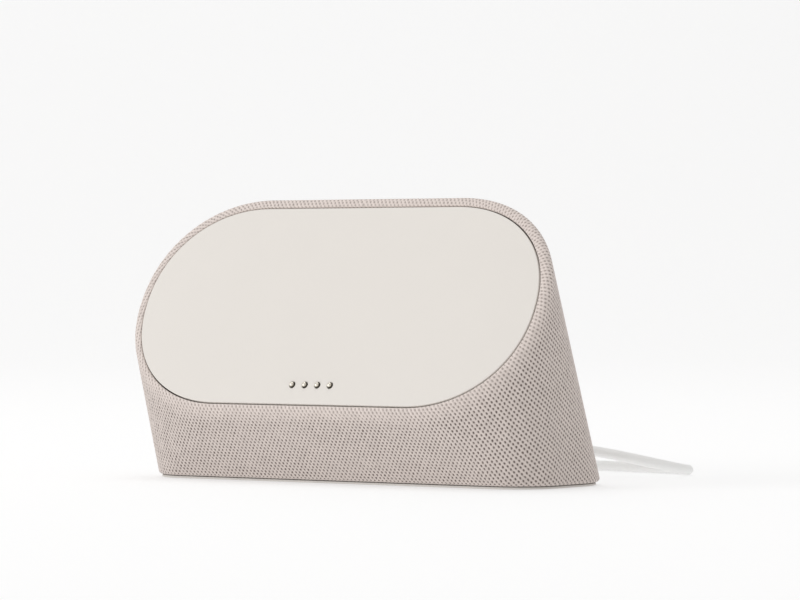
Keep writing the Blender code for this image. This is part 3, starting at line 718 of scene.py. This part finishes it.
def knitGroup():
    # colour and fine height of the knit, from the same pattern coordinates as its relief; the colour
    # holds painted shade in the holes and painted highlights on the strands and near the plate
    tree, given, out = newTree(
        "knitShade",
        "ShaderNodeTree",
        [
            ("Pattern", "NodeSocketVector", (0, 0, 0)),
            ("Yarn Colour", "NodeSocketColor", (0.8, 0.7, 0.6, 1)),
            ("Hole Shade Colour", "NodeSocketColor", (0.3, 0.25, 0.2, 1)),
            ("Hole Edge", "NodeSocketFloat", 0.2),
            ("Melange", "NodeSocketFloat", 0.2),
            ("Into Plate", "NodeSocketVector", (0, 1, 0)),
            ("Plate Place", "NodeSocketFloat", 0.0),
            ("Fade Reach", "NodeSocketFloat", 0.006),
            ("Rim Hole Shade", "NodeSocketFloat", 0.5),
            ("Rim Highlight", "NodeSocketFloat", 1.1),
        ],
        [
            ("Colour", "NodeSocketColor"),
            ("Height", "NodeSocketFloat"),
            ("Roughness", "NodeSocketFloat"),
        ],
    )
    value = given.outputs
    place = addNode(tree, "ShaderNodeTexCoord").outputs["Object"]
    parts = addNode(tree, "ShaderNodeSeparateXYZ", in0=value["Pattern"]).outputs

    def noise(scale, detail):
        return addNode(tree, "ShaderNodeTexNoise", in0=place, in2=scale, in3=detail).outputs[0]

    wander = doMath(tree, "SUBTRACT", noise(yarn["waveScale"], 1.0), 0.5)
    wander = doMath(tree, "MULTIPLY", wander, yarn["wave"])
    around, down, strand = knitWaves(tree, parts, wander)
    both = doMath(tree, "MULTIPLY", doMath(tree, "COSINE", around), doMath(tree, "COSINE", down))
    leaning = doMath(tree, "MULTIPLY_ADD", strand, yarn["slant"], 1 - yarn["slant"])
    both = doMath(tree, "MULTIPLY", both, leaning)
    hole = smoothed(tree, both, value["Hole Edge"], yarn["holeMiddle"])
    cell = noise(yarn["cellScale"], 2.0)
    cell = doMath(tree, "MULTIPLY_ADD", cell, yarn["cellChange"], yarn["cellLeast"])

    # near the plate the painted shade in the holes is weaker and the yarn gets a painted highlight,
    # lighter where light falls on the rim
    behind = doVector(tree, "DOT_PRODUCT", place, value["Into Plate"])
    behind = doMath(tree, "SUBTRACT", behind, value["Plate Place"])
    holeShadeShare = ramped(tree, behind, 0.0, value["Fade Reach"], value["Rim Hole Shade"])
    paintedLift = ramped(tree, behind, 0.0, value["Fade Reach"], value["Rim Highlight"])
    # painted shade in the holes: a dark colour mixed in where the holes are, varied by noise and weaker
    # near the plate
    depth = doMath(tree, "MULTIPLY", doMath(tree, "MULTIPLY", hole, cell), holeShadeShare)
    # painted highlight: the yarn is lighter along the strands between the holes
    light = doMath(tree, "MULTIPLY_ADD", strand, -yarn["strandHighlight"], 1.0)
    light = doMath(tree, "MULTIPLY", light, paintedLift)
    fibre = noise(yarn["fibreScale"], 2.0)
    fleck = doMath(tree, "SUBTRACT", noise(yarn["broadScale"], 3.0), 0.5)
    mix = doMath(tree, "ADD", doMath(tree, "SUBTRACT", fibre, 0.5), fleck)
    gain = doMath(tree, "MULTIPLY", light, doMath(tree, "MULTIPLY_ADD", mix, value["Melange"], 1.0))
    blend = addNode(tree, "ShaderNodeMix", {"data_type": "RGBA"}, in0=depth,
                    in6=value["Yarn Colour"], in7=value["Hole Shade Colour"])
    tree.links.new(scaled(tree, blend.outputs[2], gain), out.inputs["Colour"])
    height = doMath(tree, "SUBTRACT", fibre, doMath(tree, "MULTIPLY", hole, yarn["holeHeight"]))
    tree.links.new(height, out.inputs["Height"])
    rough = doMath(tree, "MULTIPLY_ADD", fibre, yarn["fibreRoughness"], yarn["leastRoughness"])
    tree.links.new(rough, out.inputs["Roughness"])
    return tree


def knitMaterial():
    colour = knit["yarnColour"]
    material, tree, surface = newMaterial("knitYarn", colour, yarn["roughness"], specular=yarn["shine"])
    surface.inputs["Sheen Weight"].default_value = yarn["sheen"]
    surface.inputs["Sheen Roughness"].default_value = yarn["sheenRoughness"]
    shade = useGroup(tree, surface, knitGroup(), yarn["bumpStrength"], yarn["bump"], {
        "Yarn Colour": (*colour, 1),
        "Hole Shade Colour": (*knit["holeShadeColour"], 1),
        "Hole Edge": yarn["holeEdge"],
        "Melange": yarn["melange"],
        "Into Plate": tuple(intoPlate),
        "Plate Place": float(plateCentre @ intoPlate) * mm,
        "Fade Reach": knit["fadeReach"] * mm,
        "Rim Hole Shade": knit["rimHoleShade"],
        "Rim Highlight": knit["rimHighlight"],
    })
    pattern = tree.nodes.new("ShaderNodeUVMap")
    pattern.uv_map = "knit"
    tree.links.new(pattern.outputs[0], shade.inputs["Pattern"])
    return material


def buildCover():
    rows = coverRows()
    around = knit["around"] * knit["acrossHole"]
    points, ends, places = [], [], []
    for right, place, ended in rows:
        ring = bothSides(right)
        known = (ended * 1.0, *place.T)
        mark, across, down = (np.concatenate([part, part[1:-1][::-1]]) for part in known)
        placed, clamped, across, down = evenly(ring, around, mark, across, down)
        points.append(placed)
        ends.append(clamped > 0.5)
        places.append(np.stack([across, down], axis=1))
    points, ends, places = np.array(points), np.array(ends), np.array(places)
    rowCount = len(rows)
    lastRow = np.where(ends.any(axis=0), ends.argmax(axis=0), rowCount - 1)

    # below its last row each column shares that row's point, which lies on the bottom edge
    rowOf = np.minimum(np.arange(rowCount)[:, None], lastRow[None, :])
    used = np.arange(rowCount)[:, None] <= lastRow[None, :]
    number = np.full((rowCount, around), -1)
    number[used] = np.arange(used.sum())
    index = number[rowOf, np.arange(around)[None, :]]
    verts = points[used]
    rowNumber, columnNumber = np.nonzero(used)
    places[:, around // 2 + 1:, 0] *= -1
    laid = places[used]
    raised = np.clip((rowNumber - roll["lipRows"] + 1) / 2, 0, 1)
    pattern = np.stack([laid[:, 0] / knit["holeStep"], laid[:, 1] / knit["rowStep"], raised], axis=1)
    layout = np.stack([columnNumber / around, rowNumber / rowCount], axis=1)

    # the hem: round the bottom edge and a little way in under the body
    bottom = verts[index[-1]]
    edgeCurve = bothSides(footCurve(0, shape["baseEdge"]))
    run = runAlong(edgeCurve)
    station = np.array([nearestAlong(edgeCurve, run, point) for point in bottom[::knit["acrossHole"]]])
    station = np.unwrap(station / run[-1] * 2 * math.pi) * run[-1] / 2 / math.pi
    station = np.append(station, station[0] + run[-1])
    spread = np.interp(np.arange(around), np.arange(len(station)) * knit["acrossHole"], station)
    below = [index[-1]]
    for i, (inset, height) in enumerate(knit["hem"]):
        curve = bothSides(footCurve(inset, height))
        curve = np.concatenate([curve, curve[:1]])
        ring = np.stack([np.interp(spread % run[-1], run, curve[:, axis]) for axis in range(3)], axis=1)
        below.append(np.arange(around) + len(verts))
        verts = np.concatenate([verts, ring])
        under = (pattern[index[-1]] - (0, (i + 1) * knit["hemStep"], 1)) * (1, 1, 0)
        pattern = np.concatenate([pattern, under])
        layout = np.concatenate([layout, layout[index[-1]] + (0, (i + 1) * knit["hemLayout"])])

    # faces, right way out, with the collapsed ones dropped
    def quads(upper, lower):
        nextUpper, nextLower = np.roll(upper, -1), np.roll(lower, -1)
        return np.stack([upper, lower, nextLower, nextUpper], axis=1), np.arange(around)
    faces, columns = [], []
    for j in range(rowCount - 1):
        face, column = quads(index[j], index[j + 1])
        apart = index[j] != index[j + 1]
        keep = apart | np.roll(apart, -1)
        faces.append(face[keep])
        columns.append(column[keep])
    for upper, lower in zip(below, below[1:]):
        face, column = quads(upper, lower)
        faces.append(face)
        columns.append(column)
    faces, columns = np.concatenate(faces), np.concatenate(columns)

    # the hole for the socket
    reach = np.hypot(verts[:, 0] - socket["x"], verts[:, 2] - socket["z"])
    inHole = (reach < knit["socketHole"]) & (verts[:, 1] > 0)
    gone = inHole[faces].any(axis=1)
    ringVerts = np.unique(faces[gone])
    ringVerts = ringVerts[~inHole[ringVerts]]
    pull = knit["socketHole"] / reach[ringVerts]
    for axis, middle in ((0, socket["x"]), (2, socket["z"])):
        verts[ringVerts, axis] = middle + (verts[ringVerts, axis] - middle) * pull
    verts[ringVerts, 1] = wallAt(verts[ringVerts, 2])
    pattern[ringVerts, 2] = 0
    faces, columns = faces[~gone], columns[~gone]
    return raiseKnit(verts, faces, columns, pattern, layout)


def nearestAlong(curve, run, point):
    ring = np.concatenate([curve, curve[:1]])
    a, b = ring[:-1], ring[1:]
    along = b - a
    size = np.maximum(np.sum(along * along, axis=1), 1e-12)
    share = np.clip(np.sum((point - a) * along, axis=1) / size, 0, 1)
    gap = np.linalg.norm(a + along * share[:, None] - point, axis=1)
    k = int(gap.argmin())
    return run[k] + share[k] * (run[k + 1] - run[k])


def plainMesh(name, verts, faces):
    # faces of four corners; a corner given twice makes a triangle
    faces = np.asarray(faces)
    same = [faces[:, i] == faces[:, (i + 1) % 4] for i in range(4)]
    lists = []
    three = np.any(same, axis=0)
    for face, short in zip(faces.tolist(), three.tolist()):
        if short:
            face = [a for a, b in zip(face, face[1:] + face[:1]) if a != b]
        lists.append(face)
    mesh = bpy.data.meshes.new(name)
    mesh.from_pydata(np.asarray(verts).tolist(), [], lists)
    return mesh


def raiseKnit(verts, faces, columns, pattern, layout):
    # pushes the knit out of the smooth cover, then lines it and cuts it into pieces
    flat = plainMesh("coverFlat", verts * mm, faces)
    place = flat.attributes.new("knitPlace", "FLOAT_VECTOR", "POINT")
    place.data.foreach_set("vector", pattern.astype(np.float32).ravel())
    flat.shade_smooth()
    smoothNormals = np.empty(len(verts) * 3, np.float32)
    flat.vertices.foreach_get("normal", smoothNormals)
    helper = linked("coverFlat", flat)
    relief = helper.modifiers.new("knitRelief", "NODES")
    relief.node_group = reliefTree()
    material = knitMaterial()
    setInputs(relief, {
        "Hole Depth": knit["holeDepth"] * mm,
        "Hole Edge": knit["holeEdge"],
        "Yarn Rise": knit["yarnRise"] * mm,
        "Unevenness": knit["unevenness"],
        "Seed": float(knit["seed"]),
        "Yarn": material,
    })
    raised = realised(helper)
    outside = np.empty(len(verts) * 3, np.float32)
    raised.vertices.foreach_get("co", outside)
    normals = np.empty(len(verts) * 3, np.float32)
    raised.vertices.foreach_get("normal", normals)
    outside, normals = outside.reshape(-1, 3), normals.reshape(-1, 3)
    lining = verts * mm - smoothNormals.reshape(-1, 3) * knit["thickness"] * mm
    bpy.data.meshes.remove(raised)

    order = np.argsort(columns, kind="stable")
    share = np.empty(len(order), int)
    share[order] = np.arange(len(order)) * knit["pieces"] // len(order)
    firstFace = np.zeros(columns.max() + 1, int)
    for column in range(columns.max() + 1):
        here = share[columns == column]
        firstFace[column] = here.min() if len(here) else 0
    share = firstFace[columns]
    for piece in range(knit["pieces"]):
        own = share == piece
        addCoverPiece(f"knit_cover_{piece + 1}", outside, lining, normals, pattern, layout,
                      faces[own], columns[own], material)


def addCoverPiece(name, outside, inside, normals, pattern, layout, faces, columns, material):
    used = np.unique(faces)
    renumber = np.full(len(outside), -1)
    renumber[used] = np.arange(len(used))
    skin = renumber[faces]
    count = len(used)
    lining = skin[:, ::-1] + count
    edges = np.concatenate([skin[:, [i, (i + 1) % 4]] for i in range(4)])
    edges = edges[edges[:, 0] != edges[:, 1]]
    key = np.sort(edges, axis=1)
    _, first, times = np.unique(key, axis=0, return_index=True, return_counts=True)
    rim = edges[first[times == 1]]
    walls = np.stack([rim[:, 1], rim[:, 0], rim[:, 0] + count, rim[:, 1] + count], axis=1)
    verts = np.concatenate([outside[used], inside[used]])
    allFaces = np.concatenate([skin, lining, walls])
    mesh = plainMesh(name, verts, allFaces)
    loops = np.empty(len(mesh.loops), np.int32)
    mesh.loops.foreach_get("vertex_index", loops)
    starts = np.empty(len(mesh.polygons), np.int32)
    mesh.polygons.foreach_get("loop_start", starts)
    totals = np.empty(len(mesh.polygons), np.int32)
    mesh.polygons.foreach_get("loop_total", totals)
    kind = np.repeat(np.repeat([0, 1, 2], [len(skin), len(lining), len(walls)]), totals)

    # pattern coordinates, which change sign at the back centre, and a flat layout of the piece
    seamColumn = knit["around"] * knit["acrossHole"] // 2
    pieceUv = mesh.uv_layers.new(name="knit")
    knitLoops = np.tile(pattern[used, :2], (2, 1))[loops]
    faceColumns = np.repeat(np.concatenate([columns, columns, np.zeros(len(walls))]), totals)
    onSeam = (faceColumns >= seamColumn) & (knitLoops[:, 0] > 5)
    knitLoops[onSeam, 0] *= -1
    pieceUv.data.foreach_set("uv", knitLoops.astype(np.float32).ravel())
    columnLoops, rowLoops = np.tile(layout[used], (2, 1))[loops].T
    low = np.minimum.reduceat(columnLoops, starts)[np.repeat(np.arange(len(starts)), totals)]
    columnLoops = np.where((low < 0.25) & (columnLoops > 0.75), columnLoops - 1, columnLoops)
    across = (columnLoops - columnLoops.min()) / np.ptp(columnLoops)
    down = (rowLoops - rowLoops.min()) / np.ptp(rowLoops)
    u = 0.01 + 0.98 * across
    v = np.where(kind == 0, 0.07 + 0.92 * down, 0.01 + 0.04 * down)  # skin above, lining below
    u = np.where(kind == 2, 0.001 + 0.003 * across, u)
    v = np.where(kind == 2, 0.001 + 0.003 * down, v)
    bakeUv = mesh.uv_layers.new(name="OFBake")
    bakeUv.data.foreach_set("uv", np.stack([u, v], axis=1).astype(np.float32).ravel())
    mesh.materials.append(material)
    mesh.shade_smooth()
    pieceNormals = np.concatenate([normals[used], -normals[used]])
    mesh.normals_split_custom_set_from_vertices(pieceNormals.tolist())
    piece = linked(name, mesh)
    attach(piece, "dock")
    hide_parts("fabric_cover")


plate = {
    "edge": 0.24,
    "edgeSteps": 5,
    "around": 480,
    "pinHole": 1.2,
    "holeSides": 40,
    "holeEase": 0.12,
    "holeReach": (-2.0, 4.0),
}
pins = {
    "count": 4,
    "pitch": 5.2,
    "row": -29.1,
    "radius": 0.78,
    "proud": 0.95,
    "domed": 0.42,
    "tip": 0.03,
    "domeSteps": 8,
    "shank": 3.3,
    "flange": [(0.90, 3.4), (0.98, 3.5), (0.98, 4.6), (0.5, 4.7)],
    "sides": 40,
    # painted shade on the pins' sides below the dome: its colour, where it starts and how soon it is
    # full
    "paintedShadeColour": (0.30, 0.28, 0.24),
    "paintedShadeFrom": -0.04,  # from the dome's foot, into the plate
    "paintedShadeReach": 0.15,
}


def plateMatrix(x, v, depth):
    place = platePoints(x, v, depth) * mm
    axes = Matrix((acrossPlate, -upPlate, intoPlate)).transposed().to_4x4()
    return Matrix.Translation(place.tolist()) @ axes


def pinX(i):
    return (i - (pins["count"] - 1) / 2) * pins["pitch"]


def ovalRing(grow, depth, count):
    return evenly(bothSides(rimCurve(grow, depth)), count)[0]


def footRing(inset, height, count):
    return evenly(bothSides(footCurve(inset, height)), count)[0]


def buildPlate():
    front, edge, around = -shape["plateProud"], plate["edge"], plate["around"]
    rings = [ovalRing(edge * (math.sin(turn) - 1), front + edge * (1 - math.cos(turn)), around)
             for turn in quarterTurn(plate["edgeSteps"])]
    rings.append(ovalRing(0, shape["plateBack"], around))
    mesh = meshFromRings("front_plate_skin", rings)
    body = linked("plateBlank", mesh)
    radius, ease, (start, end) = plate["pinHole"], plate["holeEase"], plate["holeReach"]
    wide = radius + 2 * ease
    profile = [(wide, start), (wide, front - ease), (radius, front + ease), (radius, end)]
    cutters = []
    for i in range(pins["count"]):
        place = plateMatrix(pinX(i), pins["row"], 0)
        cutter = turnedMesh("pinHole", profile, place, plate["holeSides"])
        hole = linked("pinHole", cutter)
        cutters.append(hole)
        cut = body.modifiers.new("pinHole", "BOOLEAN")
        cut.operation = "DIFFERENCE"
        cut.solver = "EXACT"
        cut.object = hole
    mesh = realised(body)
    for hole in cutters:
        data = hole.data
        bpy.data.objects.remove(hole, do_unlink=True)
        bpy.data.meshes.remove(data)
    mesh.name = "front_plate_skin"
    addPiece("front_plate_skin", mesh, paint["plate"], "dock", ["front_plate"])


def contactMaterial(shoulder):
    # bright plating on the dome, and painted shade on the pin's sides below it, where they stand in
    # shade
    material = paint["contact"].copy()
    material.name = "contactDome"
    tree = material.node_tree
    surface = tree.nodes["Principled BSDF"]
    place = addNode(tree, "ShaderNodeTexCoord").outputs["Object"]
    facing = doVector(tree, "DOT_PRODUCT", place, tuple(intoPlate))
    depth = doMath(tree, "SUBTRACT", facing, float(plateCentre @ intoPlate) * mm)
    start = (shoulder + pins["paintedShadeFrom"]) * mm
    # painted shade: the sides below the dome are darkened as if in shade
    shadeMask = ramped(tree, depth, start, start + pins["paintedShadeReach"] * mm)
    bright = surface.inputs["Base Color"].links[0].from_socket
    shade = addNode(tree, "ShaderNodeMix", {"data_type": "RGBA"}, in0=shadeMask, in6=bright,
                    in7=(*pins["paintedShadeColour"], 1))
    tree.links.new(shade.outputs[2], surface.inputs["Base Color"])
    return material


def buildPins():
    top = -shape["plateProud"] - pins["proud"]
    dome = [(pins["radius"] * math.sin(turn), top + pins["domed"] * (1 - math.cos(turn)))
            for turn in quarterTurn(pins["domeSteps"])[1:]]
    profile = [(pins["tip"], top)] + dome + [(pins["radius"], pins["shank"])] + pins["flange"]
    plated = contactMaterial(top + pins["domed"])
    for i in range(pins["count"]):
        place = plateMatrix(pinX(i), pins["row"], 0)
        mesh = turnedMesh(f"contact_dome_{i + 1}", profile, place, pins["sides"])
        body, node = f"contact_{i + 1}", f"contact_pin_{i + 1}"
        addPiece(mesh.name, mesh, plated, body, [node])


def buildPinSprings():
    for i in range(pins["count"]):
        node = f"contact_spring_{i + 1}"
        coil = bmesh.new()
        coil.from_mesh(nodes[node].data)
        bmesh.ops.remove_doubles(coil, verts=coil.verts, dist=joining["weld"])
        mesh = bpy.data.meshes.new(f"pin_spring_{i + 1}")
        coil.to_mesh(mesh)
        coil.free()
        piece = addPiece(mesh.name, mesh, paint["spring"], "dock", [node], sharpAt=None)
        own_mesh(piece)


foot = {
    "around": 360,
    # how far in from the body's edge, and how high
    "edge": [(1.5, 0), (1.32, 0.04), (1.2, 0.14), (1.2, 0.55), (1.3, 0.68), (1.6, 0.74), (2.8, 0.78)],
}


def buildFoot():
    rings = [footRing(inset, height, foot["around"]) for inset, height in foot["edge"]]
    mesh = meshFromRings("foot_pad", rings)
    addPiece("foot_pad", mesh, paint["foot"], "dock", ["rubber_foot"])


bezel = {
    "inside": 4.5,
    "outside": 5.7,
    "proud": 0.5,  # square to the wall, which leans
    "wallLean": 0.92,
    "round": 0.3,
    "roundSteps": 4,
    "sides": 72,
    "back": 24.9,
}


def buildBezel():
    # a ring round the socket whose outer face follows the sloping back wall
    inside, outside, ease = bezel["inside"], bezel["outside"], bezel["round"]
    profile = [(inside, None), (inside, ease)]
    for radius, start in ((inside + ease, math.pi), (outside - ease, math.pi / 2)):
        for turned in quarterTurn(bezel["roundSteps"]):
            turn = start - turned
            profile.append((radius + ease * math.cos(turn), ease - ease * math.sin(turn)))
    profile += [(outside, ease), (outside, None)]
    rings = []
    for radius, drop in profile:
        ring = []
        for i in range(bezel["sides"]):
            turn = 2 * math.pi * i / bezel["sides"]
            x, z = socket["x"] + radius * math.cos(turn), socket["z"] + radius * math.sin(turn)
            y = bezel["back"]
            if drop is not None:
                y = wallAt(z) + bezel["proud"] / bezel["wallLean"] - drop
            ring.append((x, y, z))
        rings.append(ring)
    mesh = meshFromRings("socket_ring", rings, closed=True)
    addPiece("socket_ring", mesh, paint["shell"], "dock", ["jack_bezel"])


lead = {
    "radius": 1.8,
    "length": 1.5,
    "exit": (28, 54.5, 10.5),
    "smoothness": 6,
    "coilMiddle": (-8.0, 76.0),
    "coilTurns": (25.55, 21.85, 18.15),
    "coilLayers": (1.82, 5.5, 9.18),
    "turnPoints": 16,
}


def smooth(share):
    return share * share * (3 - 2 * share)


def coilPoint(angle, radius, height):
    turn = math.radians(angle)
    middle = lead["coilMiddle"]
    return (middle[0] + radius * math.cos(turn), middle[1] + radius * math.sin(turn), height)


def cordRoute():
    # out of the plug, a loop beside the dock, three layers of three turns, then to the adapter
    loop = [lead["exit"], (28.05, 58, 10.48), (28.8, 62.2, 10.35), (31.8, 66.4, 10.0)]
    loop += [(38.4, 70.4, 9.2), (46.8, 73.8, 7.9), (55.5, 78.3, 6.0), (62.2, 84.6, 4.0)]
    loop += [(65.7, 92.0, 2.4), (64.6, 97.4, 1.9), (60.0, 101.0, 1.82), (51.0, 103.4, 1.82)]
    loop += [(36.0, 106.6, 1.82), (20.0, 109.0, 1.82)]
    loop += [(8.0, 108.4, 1.82), (-2.0, 105.4, 1.82)]
    outer, middle, inner = lead["coilTurns"]
    low, mid, high = lead["coilLayers"]
    # each key is an angle in degrees, a radius and a height; between two keys the cord
    # stays on its turn, moves one turn in or out, or climbs a layer
    keys = [(112, outer, low), (452, outer, low), (500, middle, low), (812, middle, low)]
    keys += [(860, inner, low), (1230, inner, low), (1280, inner, mid), (1532, inner, mid)]
    keys += [(1580, middle, mid), (1892, middle, mid), (1940, outer, mid), (2310, outer, mid)]
    keys += [(2360, outer, high), (2612, outer, high)]
    keys += [(2660, middle, high), (2972, middle, high), (3020, inner, high), (3290, inner, high)]
    step = 360 / lead["turnPoints"]
    coil = []
    for i in range(int((keys[-1][0] - keys[0][0]) / step) + 1):
        angle = keys[0][0] + i * step
        for (a, r, z), (b, s, w) in zip(keys, keys[1:]):
            if a <= angle <= b:
                share = smooth((angle - a) / (b - a))
                coil.append(coilPoint(angle, r + (s - r) * share, z + (w - z) * share))
                break
    last = keys[0][0] + (len(coil) - 1) * step
    # a low hump over the outer turns, then down to the table
    hump = [(16, 18.3, 10.4), (34, 20.0, 12.4), (50, 23.6, 13.0), (63, 27.9, 11.6), (74, 31.4, 8.0)]
    hump += [(83, 33.4, 4.2)]
    over = [coilPoint(last + angle, radius, height) for angle, radius, height in hump]
    tail = [(-33, 108.2, 2.0), (-43.5, 109.8, 2.6), (-52.2, 109.2, 4.6), (-56.9, 105.2, 7.1)]
    tail += [(-58, 99.5, 8.0), (-58, 95.5, 8.0)]
    return [tuple(value * mm for value in point) for point in loop + coil + over + tail]


def buildCord():
    route = cordRoute()
    data = bpy.data.curves.new("power_cord_run", "CURVE")
    data.dimensions = "3D"
    data.resolution_u = lead["smoothness"]
    data.bevel_depth = lead["radius"] * mm
    data.bevel_resolution = lead["smoothness"]
    data.use_fill_caps = True
    spline = data.splines.new("BEZIER")
    spline.bezier_points.add(len(route) - 1)
    for knot, point in zip(spline.bezier_points, route):
        knot.co = point
        knot.handle_left_type = knot.handle_right_type = "AUTO"
    data.materials.append(paint["cord"])
    return linked("power_cord_run", data)


relief = {"step": 2.3, "rib": 1.3, "slope": 0.2, "groove": 0.6}  # along the ribbed strain reliefs


def reliefRibs(start, count, radius, taper, deep):
    # ribs that get slimmer towards the cord, as pairs of a radius and a place
    profile = []
    for i in range(count):
        at, wide = start + i * relief["step"], radius - taper * i
        top, slim = at + relief["rib"], wide - deep
        bottom = top + relief["slope"]
        profile += [(wide, at), (wide, top), (slim, bottom), (slim, bottom + relief["groove"])]
    return profile


plug = {
    "tip": [(1.35, 18.0), (1.35, 16.3), (1.5, 16.2), (2.6, 16.2), (2.75, 16.35), (2.75, 27.0)],
    "grip": [(3.55, 27.05), (3.85, 27.2), (4.0, 27.55), (4.0, 41.2), (3.9, 41.8), (3.6, 42.4)],
    "ribs": (43.4, 5, 3.45, 0.18, 0.28),
    "end": [(2.5, 55.2), (2.35, 55.85), (2.0, 56.0), (0.5, 56.0)],
    "sides": 56,
    "sharpAt": 30,
}


def alongLead(x, y, z):
    # a place whose height axis points backwards
    return Matrix.Translation((x * mm, y * mm, z * mm)) @ Matrix.Rotation(-math.pi / 2, 4, "X")


def buildPlug():
    profile = plug["tip"] + plug["grip"] + reliefRibs(*plug["ribs"]) + plug["end"]
    mesh = turnedMesh("lead_plug", profile, alongLead(socket["x"], 0, socket["z"]), plug["sides"])
    return addPiece("lead_plug", mesh, paint["cord"], "power_lead", ["dc_plug"],
                    sharpAt=plug["sharpAt"])


adapter = {
    "low": (-84, 40, 0),
    "size": (46, 46, 28),
    "corner": 6.0,
    "leastCorner": 0.5,
    "cornerSteps": 8,
    "round": 2.2,
    "roundSteps": 6,
    "seam": 21.0,
    # the groove between the halves: how deep, and how far from its middle
    "groove": [(0, -0.45), (0.12, -0.3), (0.35, -0.25), (0.35, 0.25), (0.12, 0.3), (0, 0.45)],
    "bootPlace": (-58, 86, 8),
    "bootStart": [(3.6, -2), (3.6, 0.6), (3.5, 1.0)],
    "bootRibs": (1.6, 4, 3.4, 0.22, 0.3),
    "bootEnd": [(2.5, 11.2), (2.4, 11.8), (2.1, 12.0)],
    "bootSides": 40,
    "sharpAt": 30,
}


def buildAdapter():
    # a rounded case in two halves, with a ribbed boot where the cord goes in
    low, size, steps = adapter["low"], adapter["size"], adapter["cornerSteps"]
    middle = (low[0] + size[0] / 2, low[1] + size[1] / 2)

    def ring(inset, height):
        corner = max(adapter["corner"] - inset, adapter["leastCorner"])
        halfX, halfY = size[0] / 2 - inset - corner, size[1] / 2 - inset - corner
        points = []
        for quarter, (sx, sy) in enumerate(((1, 1), (-1, 1), (-1, -1), (1, -1))):
            for i in range(steps + 1):
                turn = math.pi / 2 * (quarter + i / steps)
                x = middle[0] + sx * halfX + corner * math.cos(turn)
                y = middle[1] + sy * halfY + corner * math.sin(turn)
                points.append((x, y, height))
        return points

    ease, turns = adapter["round"], quarterTurn(adapter["roundSteps"])
    rings = [ring(ease * (1 - math.sin(turn)), ease * (1 - math.cos(turn))) for turn in turns]
    rings += [ring(deep, adapter["seam"] + height) for deep, height in adapter["groove"]]
    rings += [ring(ease * (1 - math.cos(turn)), size[2] - ease * (1 - math.sin(turn)))
              for turn in turns]
    case = meshFromRings("wall_plug", rings)
    profile = adapter["bootStart"] + reliefRibs(*adapter["bootRibs"]) + adapter["bootEnd"]
    boot = turnedMesh("boot", profile, alongLead(*adapter["bootPlace"]), adapter["bootSides"])
    joined = bmesh.new()
    joined.from_mesh(case)
    joined.from_mesh(boot)
    joined.to_mesh(case)
    joined.free()
    bpy.data.meshes.remove(boot)
    return addPiece("wall_plug", case, paint["adapter"], "power_lead", ["wall_adapter"],
                    sharpAt=adapter["sharpAt"])


# the parts inside keep their shapes and only get a finish
inside = {
    "shell": ["housing_shell", "base_plate"],
    "black": ["front_frame", "contact_block", "power_inductor", "dc_jack", "driver_basket",
              "speaker_wire"],
    "board": ["main_board", "contact_board"],
    "steel": ["magnet_keeper", "counterweight", "driver_top_plate", "driver_yoke"],
    "tin": ["amp_shield", "capacitor_a", "capacitor_b"],
    "magnet": ["driver_magnet", "dock_magnet_1", "dock_magnet_2", "dock_magnet_3", "dock_magnet_4"],
    "ribbon": ["contact_flex"],
    "paper": ["driver_cone", "driver_dust_cap", "driver_spider"],
    "rubber": ["driver_surround"],
    "copper": ["voice_coil"],
    "contact": ["jack_pin"] + [f"contact_barrel_{i}" for i in range(1, 5)],
    "spring": ["adapter_blade_left", "adapter_blade_right"],
    "screw": [f"base_screw_{i}" for i in range(1, 5)] + [f"driver_screw_{i}" for i in range(1, 5)],
}


def finishInside():
    for finish, names in inside.items():
        for name in names:
            mesh = nodes[name].data
            mesh.materials.clear()
            mesh.materials.append(paint[finish])


# the camera and the lead come first, then the pieces that show, then the rest
buildCamera()
cord = buildCord()
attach(cord, "power_lead")
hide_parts("power_cord", "cord_coil", "cord_tail")
leadPlug = buildPlug()
wallPlug = buildAdapter()
print("power lead laid")
buildPlate()
buildPins()
buildPinSprings()
buildFoot()
buildBezel()
print("plate, contacts, foot and socket made")
buildCover()
print("knit cover made")
finishInside()
buildStudio()
print("finishes and studio set")
